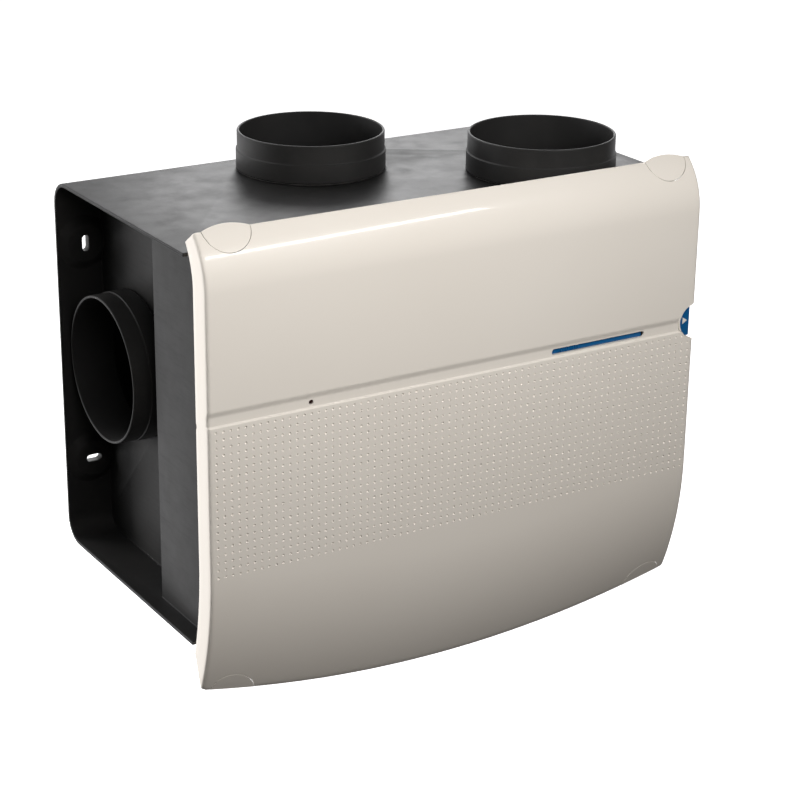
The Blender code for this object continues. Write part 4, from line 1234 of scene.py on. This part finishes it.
# --------------------------------------------------------------------------- latch
@dataclass
class LatchSlide:
    """The blue latch slide with its grip ribs and its thumb tab."""

    shop: Workshop
    cover: FrontCover
    rib_count: int = 9
    rib_pitch: float = 0.0024
    rib_width: float = 0.0012
    rail_proud: float = 0.0014

    def build(self) -> None:
        """Build the slide, the rail that fills the slit, its ribs and the tab's arrow."""
        self.shop.soften("latch_slide", Finish.BLUE, 0.0005, 3, 35.0)
        low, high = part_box("latch_slide")
        front = low.y
        z = self.cover.slit_z
        half = self.cover.slit_height / 2 - 0.0006
        left = self.cover.slit[0] + 0.0035
        right = self.cover.slit[1] - 0.014
        shape = bmesh.new()
        add_prism(shape, [(left, z - half), (right, z - half), (right, z + half), (left, z + half)],
                  front - self.rail_proud * 0.4, front + 0.0008)
        start = left + 0.004
        for i in range(self.rib_count):
            x = start + i * self.rib_pitch
            add_prism(shape, [(x, z - half), (x + self.rib_width, z - half),
                              (x + self.rib_width, z + half), (x, z + half)],
                      front - self.rail_proud, front + 0.0008)
        rail = shape_object("latch_rail", shape)
        round_edges(rail, 0.00022, 2, 40.0)
        self.shop.settle(rail, "latch", Finish.BLUE, (), None)
        arrow = 0.0030
        x = high.x - 0.0074
        z = self.cover.thumb_z
        shape = bmesh.new()
        add_prism(shape, [(x, z - arrow), (x + arrow * 1.6, z), (x, z + arrow)], front - 0.00035,
                  front + 0.0004)
        mark = shape_object("tab_arrow", shape)
        round_edges(mark, 0.0001, 2, 40.0)
        self.shop.settle(mark, "latch", Finish.CREAM, (), None)


# --------------------------------------------------------------------------- front panel
@dataclass
class FrontPanel:
    """The tray behind the cover with its screws, control box and speed knobs."""

    shop: Workshop
    screw_steps: int = 32
    head_h: float = 0.0022
    shank_r: float = 0.0018
    pitch: float = 0.0008

    def screw(self, node: str) -> None:
        """Stand a domed screw with a cross recess in for a screw node.

        Args:
            node: the CAD node.
        """
        low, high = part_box(node)
        centre = (low + high) / 2
        head_r = (high.x - low.x) / 2
        head_h, shank_r, pitch = self.head_h, self.shank_r, self.pitch
        length = high.y - low.y - head_h
        top = [(head_r * math.cos(turn), head_h * 0.35 + head_h * 0.65 * math.sin(turn))
               for turn in (0.0, 0.35, 0.7, 1.05, 1.35)]
        profile = [(0.00005, head_h)] + top[::-1] + [(head_r, 0.0), (shank_r, 0.0)]
        turns = int((length - shank_r) / pitch)
        for i in range(turns):
            profile += [(shank_r, -i * pitch - 0.0001), (shank_r * 0.78, -(i + 0.5) * pitch)]
        profile += [(shank_r * 0.8, -turns * pitch), (0.00005, -length)]
        origin = (centre.x, low.y + head_h, centre.z)
        thing = lathe(f"{node}_turned", profile, origin, (0, -1, 0), self.screw_steps)
        shape = bmesh.new()
        arm, half = head_r * 0.62, head_r * 0.14
        cross = [(arm, half), (half, half), (half, arm), (-half, arm), (-half, half), (-arm, half),
                 (-arm, -half), (-half, -half), (-half, -arm), (half, -arm), (half, -half), (arm, -half)]
        add_prism(shape, [(centre.x + x, centre.z + z) for x, z in cross], low.y - 0.001,
                  low.y + head_h * 0.62)
        carve(thing, shape_object("cross_recess", shape))
        self.shop.settle(thing, self.shop.nodes[node]["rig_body"], Finish.ZINC, (node,))

    def build(self) -> None:
        """Build and dress the panel and everything on it."""
        soften = self.shop.soften
        soften("front_panel", Finish.DARK, 0.0006, 3, 40.0)
        soften("panel_gasket", Finish.RUBBER, 0.0003, 2, 50.0)
        for number in range(1, 5):
            self.screw(f"panel_screw_{number}")
        for number in range(1, 4):
            self.screw(f"plate_screw_{number}")
            soften(f"speed_knob_{number}", Finish.GREY, 0.0003, 2, 40.0)
        soften("control_lid", Finish.BLACK, 0.0012, 4, 40.0)
        soften("control_board", Finish.BOARD, 0.0002, 2, 40.0)
        soften("transformer", Finish.BLACK, 0.0008, 3, 40.0)
        soften("relay", Finish.BLUE, 0.0006, 3, 40.0)
        soften("terminal_block", Finish.GREY, 0.0005, 2, 40.0)
        soften("choke", Finish.ZINC, 0.0008, 3, 40.0)
        soften("capacitor", Finish.BLACK, 0.0006, 3, 40.0)


# --------------------------------------------------------------------------- fan
@dataclass
class FanUnit:
    """The scroll, the wheel and the motor inside the housing."""

    shop: Workshop

    def build(self) -> None:
        """Dress the fan's pieces, and round the edges that show."""
        soften = self.shop.soften
        soften("scroll_shell", Finish.BLACK, 0.0005, 2, 40.0)
        soften("inlet_ring", Finish.GREY, 0.0003, 2, 40.0)
        soften("outlet_sleeve", Finish.RUBBER, 0.0003, 2, 50.0)
        soften("motor_plate", Finish.ZINC, 0.0004, 2, 40.0)
        soften("motor_rotor", Finish.ALUMINIUM, 0.0008, 3, 40.0)
        soften("motor_stator", Finish.ALUMINIUM, 0.0005, 2, 40.0)
        for number in range(1, 5):
            soften(f"vibration_mount_{number}", Finish.RUBBER, 0.0008, 3, 40.0)
        self.shop.repaint(Finish.BLACK, "impeller")
        self.shop.repaint(Finish.ZINC, "motor_shaft", "bearing_front", "bearing_rear")


# --------------------------------------------------------------------------- studio
@dataclass(frozen=True)
class Lamp:
    """A soft box: where it hangs, what it faces, its width and height, and its power in watts."""

    name: str
    place: Point
    target: Point
    size: Flat
    power: float
    colour: Colour = (1.0, 1.0, 1.0)
    glossy: bool = True


@dataclass
class Studio:
    """Floor, lights and the camera."""

    floor_drop: float = 0.30
    floor_half: float = 9.0
    eye: Point = (-0.9099, -1.6315, 0.6394)
    yaw: float = 0.5586
    pitch: float = 0.3665
    roll: float = 0.0131
    lens: float = 98.08
    front_tone: Colour = (0.035, 0.032, 0.029)
    side_tone: Colour = (0.045, 0.043, 0.041)
    wall_tone: Colour = (0.80, 0.80, 0.81)
    side_end: float = 0.52
    wall_start: float = 0.72
    lamps: tuple[Lamp, ...] = (
        Lamp("crown_strip", (0.33, -1.00, 0.72), (-0.12, -0.27, 0.16), (0.50, 0.06), 0.9),
        Lamp("key_box", (-0.10, -0.88, 0.50), (0.0, -0.27, 0.02), (0.9, 0.36), 6.5,
             (1.0, 0.985, 0.965), glossy=False),
        Lamp("left_card", (-1.5, 1.9, 0.1), (-0.2, -0.2, 0.0), (0.9, 1.2), 115.0,
             (1.0, 0.98, 0.96), glossy=False),
        Lamp("rear_box", (1.3, 2.0, 1.1), (0.0, -0.1, 0.16), (1.3, 1.0), 12.0))

    def camera(self) -> None:
        """Set the camera."""
        data = bpy.data.cameras.new("camera")
        data.lens = self.lens
        data.sensor_width = 36.0
        data.clip_start = 0.05
        data.clip_end = 60.0
        level = math.cos(self.pitch)
        ahead = Vector((math.sin(self.yaw) * level, math.cos(self.yaw) * level, -math.sin(self.pitch)))
        right = Vector((math.cos(self.yaw), -math.sin(self.yaw), 0.0))
        up = right.cross(ahead)
        tilted_right = right * math.cos(self.roll) + up * math.sin(self.roll)
        tilted_up = up * math.cos(self.roll) - right * math.sin(self.roll)
        turn = Matrix((tilted_right, tilted_up, -ahead)).transposed().to_4x4()
        camera = bpy.data.objects.new("camera", data)
        camera.matrix_world = Matrix.Translation(self.eye) @ turn
        bpy.context.scene.collection.objects.link(camera)
        bpy.context.scene.camera = camera

    def floor(self, level: float) -> None:
        """Lay the pale floor.

        Args:
            level: its height.
        """
        shape = bmesh.new()
        matrix = Matrix.Translation((0.0, 0.0, level)) @ Matrix.Scale(self.floor_half, 4)
        bmesh.ops.create_grid(shape, x_segments=1, y_segments=1, size=1.0, matrix=matrix)
        floor = shape_object("studio_floor", shape)
        graph = Graph("studio_paper")
        fibre = graph.noise(40.0, 4.0)
        graph.finish(Base_Color=graph.mix(fibre, (0.90, 0.90, 0.90), (0.93, 0.93, 0.93)),
                     Roughness=0.9, Emission_Color=(1.0, 1.0, 1.0), Emission_Strength=0.75)
        floor.data.materials.append(graph.material)
        floor.visible_diffuse = False
        floor.visible_glossy = False
        floor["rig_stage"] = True

    def light(self, lamp: Lamp) -> None:
        """Hang a soft box.

        Args:
            lamp: the soft box.
        """
        data = bpy.data.lights.new(lamp.name, "AREA")
        data.shape = "RECTANGLE"
        data.size, data.size_y = lamp.size
        data.energy = lamp.power
        data.color = lamp.colour
        thing = bpy.data.objects.new(lamp.name, data)
        thing.location = lamp.place
        thing.visible_glossy = lamp.glossy
        aim = Vector(lamp.target) - Vector(lamp.place)
        thing.rotation_euler = aim.to_track_quat("-Z", "Y").to_euler()
        bpy.context.scene.collection.objects.link(thing)

    def world(self) -> None:
        """Fill the room with soft light: a pale wall behind the unit and a dark room in front."""
        world = bpy.data.worlds.new("studio_room")
        bpy.context.scene.world = world
        world.use_nodes = True
        tree = Tree(world.node_tree)
        where = tree.node("ShaderNodeTexCoord", output="Generated")
        across = tree.node("ShaderNodeSeparateXYZ", {}, {0: where}, "Y")
        share = tree.node("ShaderNodeMapRange", {}, {"Value": across, "From Min": -1.0})
        stops = ((0.0, self.front_tone), (self.side_end, self.side_tone),
                 (self.wall_start, self.wall_tone), (1.0, self.wall_tone))
        tone = tree.node("ShaderNodeValToRGB", {"stops": stops}, {0: share})
        background = world.node_tree.nodes["Background"]
        tree.feed(background.inputs["Color"], tone)
        tree.feed(background.inputs["Strength"], 1.0)

    def build(self, lowest: float) -> None:
        """Set up the whole studio.

        Args:
            lowest: the object's lowest height.
        """
        self.camera()
        self.floor(lowest - self.floor_drop)
        self.world()
        for lamp in self.lamps:
            self.light(lamp)
        bpy.context.scene.view_settings.view_transform = "Standard"


def main() -> None:
    """Build the looks of the whole unit, in order."""
    logging.basicConfig(level=logging.INFO, format="%(message)s")
    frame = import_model()
    packed_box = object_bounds()
    shop = Workshop(frame)
    cover_low, cover_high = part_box("front_cover")
    form = CoverForm(half_w=cover_high.x, face_y=cover_low.y)
    cover = FrontCover(shop, form)
    for unit in (RearHousing(shop), DuctSpigots(shop), FrontPanel(shop), FanUnit(shop), cover,
                 CornerClips(shop, form), LatchSlide(shop, cover)):
        LOG.info("building %s", type(unit).__name__)
        unit.build()
    Studio().build(packed_box[0][2])


if __name__ == "__main__":
    main()
